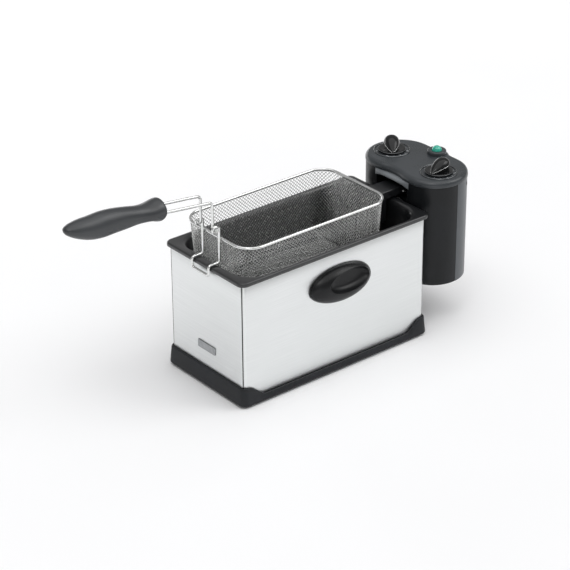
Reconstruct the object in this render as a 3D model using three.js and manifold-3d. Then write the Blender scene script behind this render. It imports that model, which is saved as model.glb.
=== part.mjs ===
// Deep fryer with a lift-out tank, a hanging wire basket and a detachable control head.
//
// Millimetres, +Z up.  The fryer stands on z = 0.  X runs along the fryer: the basket handle
// points to -X and the control head stands at the +X end.  The pieces are drawn about the middle
// of the housing, and the whole group is then moved along X, so that the origin is below the
// middle of the whole object, basket handle and control head included.
import * as THREE from 'three';
import { mergeVertices } from 'three/addons/utils/BufferGeometryUtils.js';
import Module from 'manifold-3d';

const wasm = await Module();
wasm.setup();

// ---------------------------------------------------------------- driving dimensions

const gap = 0.3; // left between pieces that touch
const cornerSteps = 5; // facets in a rounded corner of a lofted wall

const foot = { radius: 9, height: 2.7, x: 140, y: 64 };

const base = {
  halfLength: 158.2, halfWidth: 81.4, cornerRadius: 10, wall: 4.8, lean: 2.4,
  bottom: 3, floorTop: 5.5, stripTop: 11.5, earTop: 28, earStart: 120, earEnd: 148,
};

const housing = {
  halfLength: 153, halfWidth: 76.2, cornerRadius: 6, wall: 1.2,
  bottom: base.floorTop + gap, top: 176.4,
};

const tank = {
  rimHalfLength: 157.8, rimHalfWidth: 81, rimRadius: 10, rimTop: 180, lipBottom: 174.5,
  openHalfLength: 147.2, openHalfWidth: 74.8, openRadius: 32, openShiftX: 1.5,
  wall: 1.3, floor: 29, rimEdge: 1.1, lipWall: 1.6, shoulder: 9, footBend: 15,
};

const sideHandle = {
  x: 4.7, z: 129.3, halfLength: 50.5, halfHeight: 25.5, depth: 17.5,
  recessX: 6.5, recessZ: 5.5, recessHalfLength: 34, recessHalfHeight: 14.5, recessDepth: 12,
  screwX: 32, screwDepth: 5, screwRadius: 2, screwHeadRadius: 4, screwHeadHeight: 1.5,
};

const badge = { halfWidth: 18, bottom: 51.5, top: 62.5, thickness: 1 };

const basket = {
  x: -19.5, halfLength: 119, halfWidth: 66.5, radius: 26, rimZ: 214, depth: 92, wireRadius: 1.9,
  taper: 5, meshThickness: 1.6, floorRadius: 14,
};

const hook = {
  halfSpacing: 17, wireRadius: 1.9, outerX: -160.2, restZ: 182.3, lowZ: 168.6, topZ: 231,
  bend: 4, eyeRadius: 4.2, eyeWire: 1.6,
};

const handle = {
  pivotX: -148.7, pivotZ: 229.2, rodHalfSpacing: 12.3, rodRadius: 1.9, legTop: 265.5,
  tilt: 6.8, pinEnd: 21.5, rodBend: 6, pinBend: 3, gripStart: 71, gripEnd: 212.7, socketDepth: 15,
};

const head = {
  frontX: 160, waistX: 165, sideY: 79.5, frontRadius: 42.5, backRadius: 48,
  backX: 252, bumpX: 257.5, bumpHalf: 20,
  bottom: 63, deckBottom: 206.2, top: 215, edge: 3, deckThickness: 2.6, wall: 2.4, seamX: 207.5,
  shellInset: 0.7, bottomCover: 3,
};

// Canopy below the lid's front edge, over the arm.
const hood = { halfWidth: 33, lipX: 157.8, lipZ: 201, endLipZ: 196.5, thickness: 1.8 };

const arm = {
  halfWidth: 14.5, top: 193.3, bottom: 182.6, tipX: 119, legX: 139, legBottom: 150, headX: 186,
  sheet: 1.5, topBevel: 4,
};

const pocket = { halfWidth: 30, bottom: 176, top: 199.5, depthX: 177, wall: 1.8 };

const element = {
  radius: 3.4, leadX: 130, leadHalfY: 9, plane: 52, nearX: 98, farX: -108, innerX: 72,
  outerY: 46, innerY: 16, bend: 12, clipX: -60, clipWidth: 10, clipThickness: 3, clipRing: 1.8,
};

const bulb = { radius: 3, z: 61, startX: 60, endX: -30, capillaryRadius: 1.2 };

const armScrew = { x: 169.1, z: 185.4, radius: 2.6, height: 1.6 };

const knob = {
  x: 202, y: 46.5, skirtRadius: 19, skirtHeight: 2.6, height: 16.4,
  shaftRadius: 3, boreDepth: 12, lift: 0.8, ringRadius: 25.2, ringWidth: 2, ringHeight: 1,
};

const shaftSocket = 12; // how deep a knob's shaft sits in its switch body

const timerBody = { radius: 17, height: 26, knobTurn: 53 };
const thermostatBody = { radius: 18, height: 22, knobTurn: 12 };

const lamp = {
  x: 241.5, bodyRadius: 5.5, bodyBottom: 190, lensRadius: 7, lensHeight: 10.5,
  bezelRadius: 13, bezelHeight: 4.7,
};

// The shoes leave the top of the rails just before they would reach the tank's lip.
const headTravel = 50;
const shoe = { halfWidth: 5.9, bottom: 100, top: tank.lipBottom - headTravel - 2.5 };
const rail = {
  y: 38, halfWidth: 8, depth: 5.4, wall: 1.6, bottom: shoe.bottom - 6, top: shoe.bottom + headTravel - 0.5,
};

const switchTab = { halfWidth: 6, thickness: 2, reachX: 186, bottom: 50, tip: 74, footLength: 12 };

const resetButton = { y: -31, z: 92, radius: 3, collarRadius: 6, collar: 1.6, inside: 8, outside: 1.8 };
const gland = {
  y: 31.5, z: 82, flangeRadius: 7.6, flange: 2.5, bodyRadius: 5.8, boreRadius: 3.3, outside: 9, inside: 8,
};

// Plain blocks inside the head, from one corner to the opposite one.
const thermalCutout = { low: [220, -38, 82], high: [240, -20, 102] };
const terminalBlock = { low: [216, -14, 100], high: [234, 40, 114] };
const microswitch = { low: [174, -10, switchTab.tip + 2], high: [196, 10, switchTab.tip + 14] };

// ---------------------------------------------------------------- materials

function finish(color, roughness, metalness) {
  return new THREE.MeshStandardMaterial({ color, roughness, metalness });
}

const steel = finish(0xc9cccb, 0.35, 0.9);
const chrome = finish(0xdddfe0, 0.12, 1);
const zincSteel = finish(0xb4b6b5, 0.45, 0.9);
const enamel = finish(0x2c2e31, 0.3, 0.1);
const blackPlastic = finish(0x1c1d1f, 0.45, 0);
const glossBlack = finish(0x0d0e10, 0.2, 0);
const headPlastic = finish(0x303338, 0.4, 0);
const headGrey = finish(0x4b4e53, 0.45, 0);
const rubber = finish(0x141414, 0.85, 0);
const brassMetal = finish(0xb5974f, 0.35, 0.9);
const greenLens = finish(0x0f9d80, 0.15, 0);
const redPlastic = finish(0xb3241c, 0.35, 0);
const switchPlastic = finish(0xd9d4c4, 0.5, 0);

// ---------------------------------------------------------------- solids and booleans

function toSolid(geometry) {
  const plain = geometry.clone();
  plain.deleteAttribute('normal');
  plain.deleteAttribute('uv');
  const merged = mergeVertices(plain, 1e-4);
  const vertProperties = new Float32Array(merged.attributes.position.array);
  const triVerts = new Uint32Array(merged.index.array);
  return new wasm.Manifold(new wasm.Mesh({ numProp: 3, vertProperties, triVerts }));
}

function toGeometry(solid) {
  const mesh = solid.getMesh();
  const geometry = new THREE.BufferGeometry();
  geometry.setAttribute('position', new THREE.BufferAttribute(new Float32Array(mesh.vertProperties), 3));
  geometry.setIndex(Array.from(mesh.triVerts));
  geometry.computeVertexNormals();
  return geometry;
}

function cut(target, ...tools) {
  let solid = toSolid(target);
  for (const tool of tools) {
    solid = solid.subtract(toSolid(tool));
  }
  return toGeometry(solid);
}

function join(...pieces) {
  let solid = toSolid(pieces[0]);
  for (const piece of pieces.slice(1)) {
    solid = solid.add(toSolid(piece));
  }
  return toGeometry(solid);
}

function common(first, second) {
  return toGeometry(toSolid(first).intersect(toSolid(second)));
}

// ---------------------------------------------------------------- shape helpers

function boxBetween(low, high) {
  const size = [0, 1, 2].map((i) => high[i] - low[i]);
  const middle = [0, 1, 2].map((i) => (high[i] + low[i]) / 2);
  return new THREE.BoxGeometry(...size).translate(...middle);
}

// A cylinder along one axis, from one coordinate to another on that axis.
function rod(axis, radius, from, to, across, segments = 20) {
  const cylinder = new THREE.CylinderGeometry(radius, radius, to - from, segments);
  const middle = (from + to) / 2;
  if (axis === 'x') return cylinder.rotateZ(Math.PI / 2).translate(middle, across[0], across[1]);
  if (axis === 'y') return cylinder.translate(across[0], middle, across[1]);
  return cylinder.rotateX(Math.PI / 2).translate(across[0], across[1], middle);
}

function prism(shape, length, curveSegments) {
  return new THREE.ExtrudeGeometry(shape, { depth: length, bevelEnabled: false, curveSegments });
}

function prismZ(shape, low, high, curveSegments = 6) {
  return prism(shape, high - low, curveSegments).translate(0, 0, low);
}

// The shape is drawn in X and Z, and runs along Y.
function prismY(shape, low, high, curveSegments = 6) {
  return prism(shape, high - low, curveSegments).rotateX(Math.PI / 2).translate(0, high, 0);
}

function roundedRectangle(halfX, halfY, radius) {
  const shape = new THREE.Shape();
  const quarter = Math.PI / 2;
  shape.absarc(halfX - radius, halfY - radius, radius, 0, quarter);
  shape.absarc(radius - halfX, halfY - radius, radius, quarter, 2 * quarter);
  shape.absarc(radius - halfX, radius - halfY, radius, 2 * quarter, 3 * quarter);
  shape.absarc(halfX - radius, radius - halfY, radius, 3 * quarter, 4 * quarter);
  shape.closePath();
  return shape;
}

function polygon(points) {
  return new THREE.Shape(points.map(([x, y]) => new THREE.Vector2(x, y)));
}

// One level of a wall that is a rounded rectangle in plan.
function level(halfX, halfY, radius, z, centreX = 0) {
  const points = [];
  const corners = [[1, 1], [-1, 1], [-1, -1], [1, -1]];
  corners.forEach(([sideX, sideY], corner) => {
    for (let step = 0; step <= cornerSteps; step += 1) {
      const angle = (Math.PI / 2) * (corner + step / cornerSteps);
      const x = centreX + sideX * (halfX - radius) + radius * Math.cos(angle);
      const y = sideY * (halfY - radius) + radius * Math.sin(angle);
      points.push(new THREE.Vector3(x, y, z));
    }
  });
  return points;
}

// Triangles over a flat section, turning the same way as its points.
function capTriangles(section) {
  const normal = new THREE.Vector3();
  section.forEach((point, i) => normal.add(point.clone().cross(section[(i + 1) % section.length])));
  const [x, y, z] = normal.toArray().map(Math.abs);
  let flat = (p) => new THREE.Vector2(p.x, p.y);
  if (x > y && x > z) flat = (p) => new THREE.Vector2(p.y, p.z);
  else if (y > z) flat = (p) => new THREE.Vector2(p.z, p.x);
  const turnsBack = Math.sign(x > y && x > z ? normal.x : y > z ? normal.y : normal.z) < 0;
  const outline = section.map(flat);
  const faces = THREE.ShapeUtils.triangulateShape(turnsBack ? outline.slice().reverse() : outline, []);
  const last = section.length - 1;
  return faces.map((face) => (turnsBack ? face.map((i) => last - i).reverse() : face));
}

// A skin over a stack of sections with equal point counts, closed by a flat cap at each end.
function loft(sections) {
  const count = sections[0].length;
  const positions = sections.flat().flatMap((p) => [p.x, p.y, p.z]);
  const triangles = [];
  for (let s = 0; s < sections.length - 1; s += 1) {
    for (let i = 0; i < count; i += 1) {
      const a = s * count + i;
      const b = s * count + ((i + 1) % count);
      triangles.push(a, b, b + count, a, b + count, a + count);
    }
  }
  const last = (sections.length - 1) * count;
  capTriangles(sections[0]).forEach(([a, b, c]) => triangles.push(c, b, a));
  capTriangles(sections.at(-1)).forEach(([a, b, c]) => triangles.push(last + a, last + b, last + c));
  const geometry = new THREE.BufferGeometry();
  geometry.setAttribute('position', new THREE.BufferAttribute(new Float32Array(positions), 3));
  geometry.setIndex(triangles);
  return geometry;
}

// The same outline moved inwards; the points run counter-clockwise.
function insetOutline(points, distance) {
  const count = points.length;
  return points.map((point, i) => {
    const before = points[(i + count - 1) % count];
    const after = points[(i + 1) % count];
    const along = after.clone().sub(before).normalize();
    return new THREE.Vector2(point.x - along.y * distance, point.y + along.x * distance);
  });
}

// Bent wire: straight runs joined by round bends.  A point is kept at each end of a straight run
// and along each bend, so that the tube has no sections it doesn't need.
class BentWire extends THREE.Curve {
  constructor(corners, bendRadius, closed = false, bendSteps = 4) {
    super();
    this.closed = closed;
    this.points = [];
    const count = corners.length;
    corners.forEach((corner, i) => {
      const isEnd = !closed && (i === 0 || i === count - 1);
      if (isEnd) {
        this.points.push(corner.clone());
        return;
      }
      const toPrevious = corners[(i + count - 1) % count].clone().sub(corner).normalize();
      const toNext = corners[(i + 1) % count].clone().sub(corner).normalize();
      const halfAngle = toPrevious.angleTo(toNext) / 2;
      const bisector = toPrevious.clone().add(toNext).normalize();
      const centre = corner.clone().addScaledVector(bisector, bendRadius / Math.sin(halfAngle));
      const start = corner.clone().addScaledVector(toPrevious, bendRadius / Math.tan(halfAngle)).sub(centre);
      const axis = toNext.clone().cross(toPrevious).normalize();
      const turn = Math.PI - 2 * halfAngle;
      for (let step = 0; step <= bendSteps; step += 1) {
        const spoke = start.clone().applyAxisAngle(axis, (turn * step) / bendSteps);
        this.points.push(centre.clone().add(spoke));
      }
    });
  }

  get sectionCount() {
    return this.closed ? this.points.length : this.points.length - 1;
  }

  pointAtIndex(index) {
    return this.points[index % this.points.length];
  }

  getPointAt(u) {
    return this.pointAtIndex(Math.round(u * this.sectionCount)).clone();
  }

  getPoint(t) {
    return this.getPointAt(t);
  }

  getTangentAt(u) {
    const index = Math.round(u * this.sectionCount);
    const last = this.points.length - 1;
    const before = this.closed ? (index + last) % (last + 1) : Math.max(index - 1, 0);
    const after = this.closed ? index + 1 : Math.min(index + 1, last);
    const here = this.pointAtIndex(index);
    const tangent = new THREE.Vector3();
    if (this.closed || index > 0) {
      tangent.add(here.clone().sub(this.pointAtIndex(before)).normalize());
    }
    if (this.closed || index < last) {
      tangent.add(this.pointAtIndex(after).clone().sub(here).normalize());
    }
    return tangent.normalize();
  }
}

function openWire(corners, radius, bendRadius, sides = 8) {
  const path = new BentWire(corners.map((c) => new THREE.Vector3(...c)), bendRadius);
  const section = new THREE.Shape().absarc(0, 0, radius, 0, 2 * Math.PI);
  return new THREE.ExtrudeGeometry(section, {
    extrudePath: path, steps: path.sectionCount, curveSegments: sides / 2, bevelEnabled: false,
  });
}

function wireLoop(corners, radius, bendRadius, sides = 8) {
  const path = new BentWire(corners.map((c) => new THREE.Vector3(...c)), bendRadius, true);
  return new THREE.TubeGeometry(path, path.sectionCount, radius, sides, true);
}

function addPart(parent, name, geometry, material, position = [0, 0, 0]) {
  const mesh = new THREE.Mesh(geometry, material);
  mesh.name = name;
  mesh.position.set(...position);
  parent.add(mesh);
  return mesh;
}

// ---------------------------------------------------------------- base, housing and tank

// Skirt and floor of the moulded base.  The skirt leans in towards its top.  It stands high round
// the ends and corners, and sweeps down to a low strip along the two long sides.
function baseTrayGeometry() {
  const outsideLevel = (inward, z) => level(
    base.halfLength - inward, base.halfWidth - inward, base.cornerRadius - inward / 2, z,
  );
  const inside = roundedRectangle(
    base.halfLength - base.wall, base.halfWidth - base.wall, base.cornerRadius - base.wall,
  );
  const skirt = loft([
    outsideLevel(0, base.bottom), outsideLevel(0, base.floorTop), outsideLevel(base.lean, base.earTop),
  ]);
  const hollow = prismZ(inside, base.floorTop, base.earTop + 1);
  const sweep = new THREE.Shape();
  const middleX = (base.earStart + base.earEnd) / 2;
  sweep.moveTo(-base.earStart, base.stripTop);
  sweep.lineTo(base.earStart, base.stripTop);
  sweep.bezierCurveTo(middleX, base.stripTop, middleX - 4, base.earTop, base.earEnd, base.earTop);
  sweep.lineTo(base.earEnd, base.earTop + 2);
  sweep.lineTo(-base.earEnd, base.earTop + 2);
  sweep.lineTo(-base.earEnd, base.earTop);
  sweep.bezierCurveTo(4 - middleX, base.earTop, -middleX, base.stripTop, -base.earStart, base.stripTop);
  const lowered = prismY(sweep, -base.halfWidth - 1, base.halfWidth + 1, 8);
  return cut(skirt, hollow, lowered);
}

function housingGeometry() {
  const sleeve = roundedRectangle(housing.halfLength, housing.halfWidth, housing.cornerRadius);
  sleeve.holes.push(roundedRectangle(
    housing.halfLength - housing.wall, housing.halfWidth - housing.wall, housing.cornerRadius - housing.wall,
  ));
  const holes = [-1, 1].map((side) => rod('y', sideHandle.screwRadius + gap, -100, 100,
    [sideHandle.x + side * sideHandle.screwX, sideHandle.z], 12));
  return cut(prismZ(sleeve, housing.bottom, housing.top), ...holes);
}

// The tank: outside of the pot, underside of the flange, lip, top of the flange, inside.
function tankGeometry() {
  const t = tank.wall;
  const wallLevel = (inward, radius, z) => level(
    tank.openHalfLength - inward, tank.openHalfWidth - inward, radius, z, tank.openShiftX,
  );
  const rimLevel = (inward, z) => level(
    tank.rimHalfLength - inward, tank.rimHalfWidth - inward, tank.rimRadius - inward / 2, z,
  );
  // how far the inside stands in from the opening, corner radius, height
  const inside = [
    [0, tank.openRadius, tank.rimTop],
    [2.4, tank.openRadius, tank.rimTop - 1.6],
    [3.5, tank.openRadius - 1, tank.rimTop - tank.shoulder],
    [6.1, tank.openRadius - 3, tank.floor + tank.footBend],
    [8.9, tank.openRadius - 7, tank.floor + tank.footBend / 3],
    [16.2, tank.openRadius - 13, tank.floor],
  ].map((row) => wallLevel(...row));
  const outside = [
    [16.2 - t / 2, tank.openRadius - 12, tank.floor - t],
    [8.9 - t, tank.openRadius - 6, tank.floor + tank.footBend / 3 - t / 2],
    [6.1 - t, tank.openRadius - 2, tank.floor + tank.footBend],
    [3.5 - t, tank.openRadius, tank.rimTop - tank.shoulder],
    [1.4, tank.openRadius, tank.rimTop - 2 * t],
  ].map((row) => wallLevel(...row));
  const rim = [
    rimLevel(tank.lipWall, tank.rimTop - tank.lipWall),
    rimLevel(tank.lipWall, tank.lipBottom),
    rimLevel(0, tank.lipBottom),
    rimLevel(0, tank.rimTop - tank.rimEdge),
    rimLevel(tank.rimEdge, tank.rimTop),
  ];
  return loft([...outside, ...rim, ...inside]);
}

// Oval grip on the side of the housing, with a scooped finger recess.  Drawn for the -Y side,
// with its back at y = 0 and blind holes for two screws.
function sideHandleGeometry() {
  const oval = (scale, y, rise = 0) => {
    const points = [];
    for (let step = 0; step < 24; step += 1) {
      const angle = (2 * Math.PI * step) / 24;
      points.push(new THREE.Vector3(
        scale * sideHandle.halfLength * Math.cos(angle), y,
        rise + scale * sideHandle.halfHeight * Math.sin(angle),
      ));
    }
    return points;
  };
  const d = sideHandle.depth;
  const body = loft([
    oval(0.98, 0), oval(1, -0.12 * d), oval(0.97, -0.5 * d), oval(0.88, -0.8 * d),
    oval(0.74, -0.95 * d), oval(0.5, -d),
  ]);
  const scoop = new THREE.SphereGeometry(1, 20, 12);
  scoop.scale(sideHandle.recessHalfLength, sideHandle.recessDepth, sideHandle.recessHalfHeight);
  scoop.translate(sideHandle.recessX, -d, sideHandle.recessZ);
  const screwHoles = [-1, 1].map((side) => rod('y', sideHandle.screwRadius + gap,
    -sideHandle.screwDepth - 1, 1, [side * sideHandle.screwX, 0], 12));
  return cut(body, scoop, ...screwHoles);
}

// Screw driven outwards from inside the housing; its head lies flat on the inside of the wall.
function sideHandleScrewGeometry() {
  const headStart = housing.wall + 2 * gap;
  const shank = rod('y', sideHandle.screwRadius, -sideHandle.screwDepth, headStart + 0.5, [0, 0], 12);
  const screwHead = rod('y', sideHandle.screwHeadRadius, headStart, headStart + sideHandle.screwHeadHeight,
    [0, 0], 14);
  return join(shank, screwHead);
}

function addBody(parent) {
  addPart(parent, 'base_tray', baseTrayGeometry(), blackPlastic);
  let footNumber = 1;
  for (const x of [-foot.x, foot.x]) {
    for (const y of [-foot.y, foot.y]) {
      const disc = rod('z', foot.radius, 0, foot.height, [0, 0], 20);
      addPart(parent, `foot_${footNumber}`, disc, rubber, [x, y, 0]);
      footNumber += 1;
    }
  }
  addPart(parent, 'outer_housing', housingGeometry(), steel);
  addPart(parent, 'inner_tank', tankGeometry(), enamel);
  const badgeX = -housing.halfLength - gap;
  const plate = boxBetween(
    [badgeX - badge.thickness, -badge.halfWidth, badge.bottom], [badgeX, badge.halfWidth, badge.top],
  );
  addPart(parent, 'blank_badge', plate, blackPlastic);
}

function addSideHandles(parent) {
  for (const [side, turn] of [['front', 0], ['rear', Math.PI]]) {
    const mount = new THREE.Group();
    mount.rotation.z = turn;
    mount.position.set(sideHandle.x, 0, sideHandle.z);
    parent.add(mount);
    const backY = -housing.halfWidth - gap;
    addPart(mount, `side_handle_${side}`, sideHandleGeometry(), blackPlastic, [0, backY, 0]);
    addPart(mount, `side_handle_${side}_screw_1`, sideHandleScrewGeometry(), zincSteel,
      [-sideHandle.screwX, backY, 0]);
    addPart(mount, `side_handle_${side}_screw_2`, sideHandleScrewGeometry(), zincSteel,
      [sideHandle.screwX, backY, 0]);
  }
}

// Two upright channels on the end of the housing guide the control head, and a tab below them
// presses the head's safety switch when the head is home.
function addHeadGuides(parent) {
  const wallX = housing.halfLength + gap;
  for (const [number, y] of [[1, -rail.y], [2, rail.y]]) {
    const block = boxBetween([wallX, y - rail.halfWidth, rail.bottom],
      [wallX + rail.depth, y + rail.halfWidth, rail.top]);
    const slot = boxBetween([wallX + rail.wall, y - rail.halfWidth + rail.wall, rail.bottom + rail.wall],
      [wallX + rail.depth + 1, y + rail.halfWidth - rail.wall, rail.top + 1]);
    addPart(parent, `head_guide_rail_${number}`, cut(block, slot), zincSteel);
  }
  const t = switchTab;
  const profile = polygon([
    [wallX, t.bottom - t.footLength], [wallX + t.thickness, t.bottom - t.footLength],
    [wallX + t.thickness, t.bottom],
    [t.reachX, t.bottom], [t.reachX, t.tip], [t.reachX - t.thickness, t.tip],
    [t.reachX - t.thickness, t.bottom + t.thickness], [wallX, t.bottom + t.thickness],
  ]);
  addPart(parent, 'safety_switch_tab', prismY(profile, -t.halfWidth, t.halfWidth), zincSteel);
}

// ---------------------------------------------------------------- basket

function basketShellGeometry() {
  const wallTop = basket.rimZ - basket.wireRadius - gap;
  const floor = basket.rimZ - basket.depth;
  const t = basket.meshThickness;
  const wall = (inward, radius, z) => level(
    basket.halfLength - inward, basket.halfWidth - inward, radius, z, basket.x,
  );
  const bend = 4; // how far the bend of the floor stands in from the wall, and up from the floor
  return loft([
    wall(basket.taper + basket.floorRadius, basket.radius - 2 * bend, floor),
    wall(basket.taper + bend, basket.radius - bend, floor + bend),
    wall(basket.taper, basket.radius, floor + basket.floorRadius),
    wall(0, basket.radius, wallTop),
    wall(t, basket.radius - t, wallTop),
    wall(basket.taper + t, basket.radius - t, floor + basket.floorRadius),
    wall(basket.taper + bend + t, basket.radius - bend - t, floor + bend + t),
    wall(basket.taper + basket.floorRadius + t, basket.radius - 2 * bend - t, floor + t),
  ]);
}

function basketRimGeometry() {
  const low = basket.x - basket.halfLength;
  const high = basket.x + basket.halfLength;
  const corners = [
    [low, -basket.halfWidth, basket.rimZ], [high, -basket.halfWidth, basket.rimZ],
    [high, basket.halfWidth, basket.rimZ], [low, basket.halfWidth, basket.rimZ],
  ];
  return wireLoop(corners, basket.wireRadius, basket.radius);
}

// One wire that rises from the eyes on the basket's end, comes down outside the basket, turns out
// over the tank's rim and closes below it.
function hookFrameGeometry() {
  const wallX = basket.x - basket.halfLength - basket.wireRadius - hook.wireRadius - gap;
  const half = hook.halfSpacing;
  const side = (y) => [[wallX, y, hook.topZ], [wallX, y, hook.restZ], [hook.outerX, y, hook.restZ],
    [hook.outerX, y, hook.lowZ]];
  const wire = openWire([...side(-half), ...side(half).reverse()], hook.wireRadius, hook.bend);
  const eyes = [-half, half].map((y) => new THREE.TorusGeometry(hook.eyeRadius, hook.eyeWire, 6, 14)
    .rotateX(Math.PI / 2).translate(handle.pivotX, y, handle.pivotZ));
  return join(wire, ...eyes);
}

function addBasket(parent) {
  addPart(parent, 'basket_mesh', basketShellGeometry(), chrome);
  addPart(parent, 'basket_rim_wire', basketRimGeometry(), chrome);
  addPart(parent, 'basket_hook_frame', hookFrameGeometry(), chrome);
}

// ---------------------------------------------------------------- basket handle

const tiltAngle = THREE.MathUtils.degToRad(handle.tilt);

// A point on the handle's tilted line, measured outwards from the top of the legs.
function alongHandle(distance) {
  return [
    handle.pivotX - distance * Math.cos(tiltAngle),
    handle.legTop + distance * Math.sin(tiltAngle),
  ];
}

function handleRodGeometry(side, extraRadius = 0) {
  const y = side * handle.rodHalfSpacing;
  const [endX, endZ] = alongHandle(handle.gripStart + handle.socketDepth);
  const legs = openWire(
    [[handle.pivotX, y, handle.pivotZ + 12], [handle.pivotX, y, handle.legTop], [endX, y, endZ]],
    handle.rodRadius + extraRadius, handle.rodBend,
  );
  const pivotPin = openWire(
    [[handle.pivotX, y, handle.pivotZ + 14], [handle.pivotX, y, handle.pivotZ],
      [handle.pivotX, side * handle.pinEnd, handle.pivotZ]],
    handle.rodRadius + extraRadius, handle.pinBend,
  );
  return join(legs, pivotPin);
}

// Moulded grip: oval sections along the tilted line, slim behind the collar and full in the palm.
function gripGeometry() {
  const length = handle.gripEnd - handle.gripStart;
  const sections = [
    // fraction of the length, half height, half width, rise of the middle
    [0, 9, 15.6, 0.9],
    [0.03, 14.5, 16.4, 0.7],
    [0.07, 13.7, 16.6, 0.4],
    [0.12, 11.5, 16.2, 0],
    [0.25, 11.5, 12.8, -0.9],
    [0.38, 14, 13.2, -1.4],
    [0.5, 15.3, 14.4, -1.9],
    [0.62, 16.5, 15.2, -3.3],
    [0.74, 14.5, 15, -4.5],
    [0.84, 12.2, 13.6, -3.9],
    [0.92, 8.2, 11, -3.2],
    [0.97, 5.1, 7.6, -2.7],
    [1, 2, 2.4, -2.4],
  ];
  const rings = sections.map(([fraction, halfHeight, halfWidth, rise]) => {
    const [x, z] = alongHandle(handle.gripStart + fraction * length);
    const ring = [];
    for (let step = 0; step < 16; step += 1) {
      const angle = (2 * Math.PI * step) / 16;
      const up = rise + halfHeight * Math.sin(angle);
      ring.push(new THREE.Vector3(
        x + up * Math.sin(tiltAngle), halfWidth * Math.cos(angle), z + up * Math.cos(tiltAngle),
      ));
    }
    return ring;
  });
  const body = loft(rings.reverse());
  return cut(body, handleRodGeometry(-1, gap), handleRodGeometry(1, gap));
}

function addBasketHandle(parent) {
  addPart(parent, 'handle_rod_front', handleRodGeometry(-1), chrome);
  addPart(parent, 'handle_rod_rear', handleRodGeometry(1), chrome);
  addPart(parent, 'handle_grip', gripGeometry(), blackPlastic);
}

// ---------------------------------------------------------------- control head

// Plan outline: two round lobes side by side, a shallow waist in front and a bump at the back
// for the lamp.  The points run counter-clockwise.
function headOutline() {
  const shape = new THREE.Shape();
  const { frontX, waistX, sideY, frontRadius, backRadius, backX, bumpX, bumpHalf } = head;
  const waistHalf = sideY - frontRadius;
  shape.moveTo(waistX, 0);
  shape.bezierCurveTo(waistX, -waistHalf * 0.45, frontX, -waistHalf * 0.45, frontX, -waistHalf);
  shape.absarc(frontX + frontRadius, frontRadius - sideY, frontRadius, Math.PI, 1.5 * Math.PI);
  shape.absarc(backX - backRadius, backRadius - sideY, backRadius, -Math.PI / 2, 0);
  shape.lineTo(backX, -bumpHalf);
  shape.bezierCurveTo(backX, -bumpHalf * 0.5, bumpX, -bumpHalf * 0.6, bumpX, 0);
  shape.bezierCurveTo(bumpX, bumpHalf * 0.6, backX, bumpHalf * 0.5, backX, bumpHalf);
  shape.absarc(backX - backRadius, sideY - backRadius, backRadius, 0, Math.PI / 2);
  shape.absarc(frontX + frontRadius, sideY - frontRadius, frontRadius, Math.PI / 2, Math.PI);
  shape.bezierCurveTo(frontX, waistHalf * 0.45, waistX, waistHalf * 0.45, waistX, 0);
  const points = shape.getPoints(6);
  return points.filter((point, i) => point.distanceTo(points[(i + 1) % points.length]) > 0.01);
}

function headPrism(inset, low, high) {
  return prismZ(new THREE.Shape(insetOutline(headOutline(), inset)), low, high);
}

// Both shells before they are parted: an upright tube with the outline of the head.
function headWallGeometry() {
  const outer = headPrism(head.shellInset, head.bottom, head.deckBottom - gap);
  const inner = headPrism(head.shellInset + head.wall, head.bottom - 1, head.deckBottom + 1);
  const p = pocket;
  const box = boxBetween(
    [head.frontX + 1, -p.halfWidth - p.wall, p.bottom - p.wall],
    [p.depthX + p.wall, p.halfWidth + p.wall, p.top + p.wall],
  );
  const room = cut(inner, box);
  const recess = boxBetween([head.frontX - 5, -p.halfWidth, p.bottom], [p.depthX, p.halfWidth, p.top]);
  const armHole = boxBetween(
    [head.frontX, -arm.halfWidth - gap, arm.bottom - gap],
    [p.depthX + 5, arm.halfWidth + gap, arm.top + gap],
  );
  return cut(outer, room, recess, armHole);
}

// Where the outline of the head meets its front, at this distance from the middle.
function headFrontXAt(y) {
  const outline = headOutline();
  const crossings = [];
  outline.forEach((point, i) => {
    const next = outline[(i + 1) % outline.length];
    if ((point.y - y) * (next.y - y) > 0 || point.y === next.y) return;
    crossings.push(point.x + ((next.x - point.x) * (y - point.y)) / (next.y - point.y));
  });
  return Math.min(...crossings);
}

// A curved lip that grows out of the front wall just below the lid, and dies away at its two ends.
function hoodGeometry() {
  const steps = 12;
  const sections = [];
  for (let step = 0; step <= steps; step += 1) {
    const y = hood.halfWidth * (1 - (2 * step) / steps);
    const fromMiddle = Math.abs(y) / hood.halfWidth;
    const wallX = headFrontXAt(y) + head.shellInset;
    const lipX = THREE.MathUtils.lerp(hood.lipX, wallX - 0.2, fromMiddle ** 4);
    const lipZ = THREE.MathUtils.lerp(hood.lipZ, hood.endLipZ, fromMiddle ** 3);
    const backX = wallX + head.wall / 2;
    sections.push([
      [backX, head.deckBottom - gap], [wallX, head.deckBottom - gap], [lipX, lipZ + hood.thickness],
      [lipX, lipZ], [backX, lipZ + 0.5],
    ].map(([x, z]) => new THREE.Vector3(x, y, z)));
  }
  return loft(sections);
}

function headFrontShellGeometry() {
  const keep = boxBetween([head.frontX - 5, -100, 0], [head.seamX - gap / 2, 100, 300]);
  return join(common(headWallGeometry(), keep), hoodGeometry());
}

function headRearShellGeometry() {
  const keep = boxBetween([head.seamX + gap / 2, -100, 0], [head.bumpX + 5, 100, 300]);
  const buttonHole = rod('x', resetButton.radius + gap, head.backX - 15, head.backX + 5,
    [resetButton.y, resetButton.z]);
  const glandHole = rod('x', gland.bodyRadius + gap, head.backX - 15, head.backX + 5, [gland.y, gland.z]);
  return cut(common(headWallGeometry(), keep), buttonHole, glandHole);
}

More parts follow.
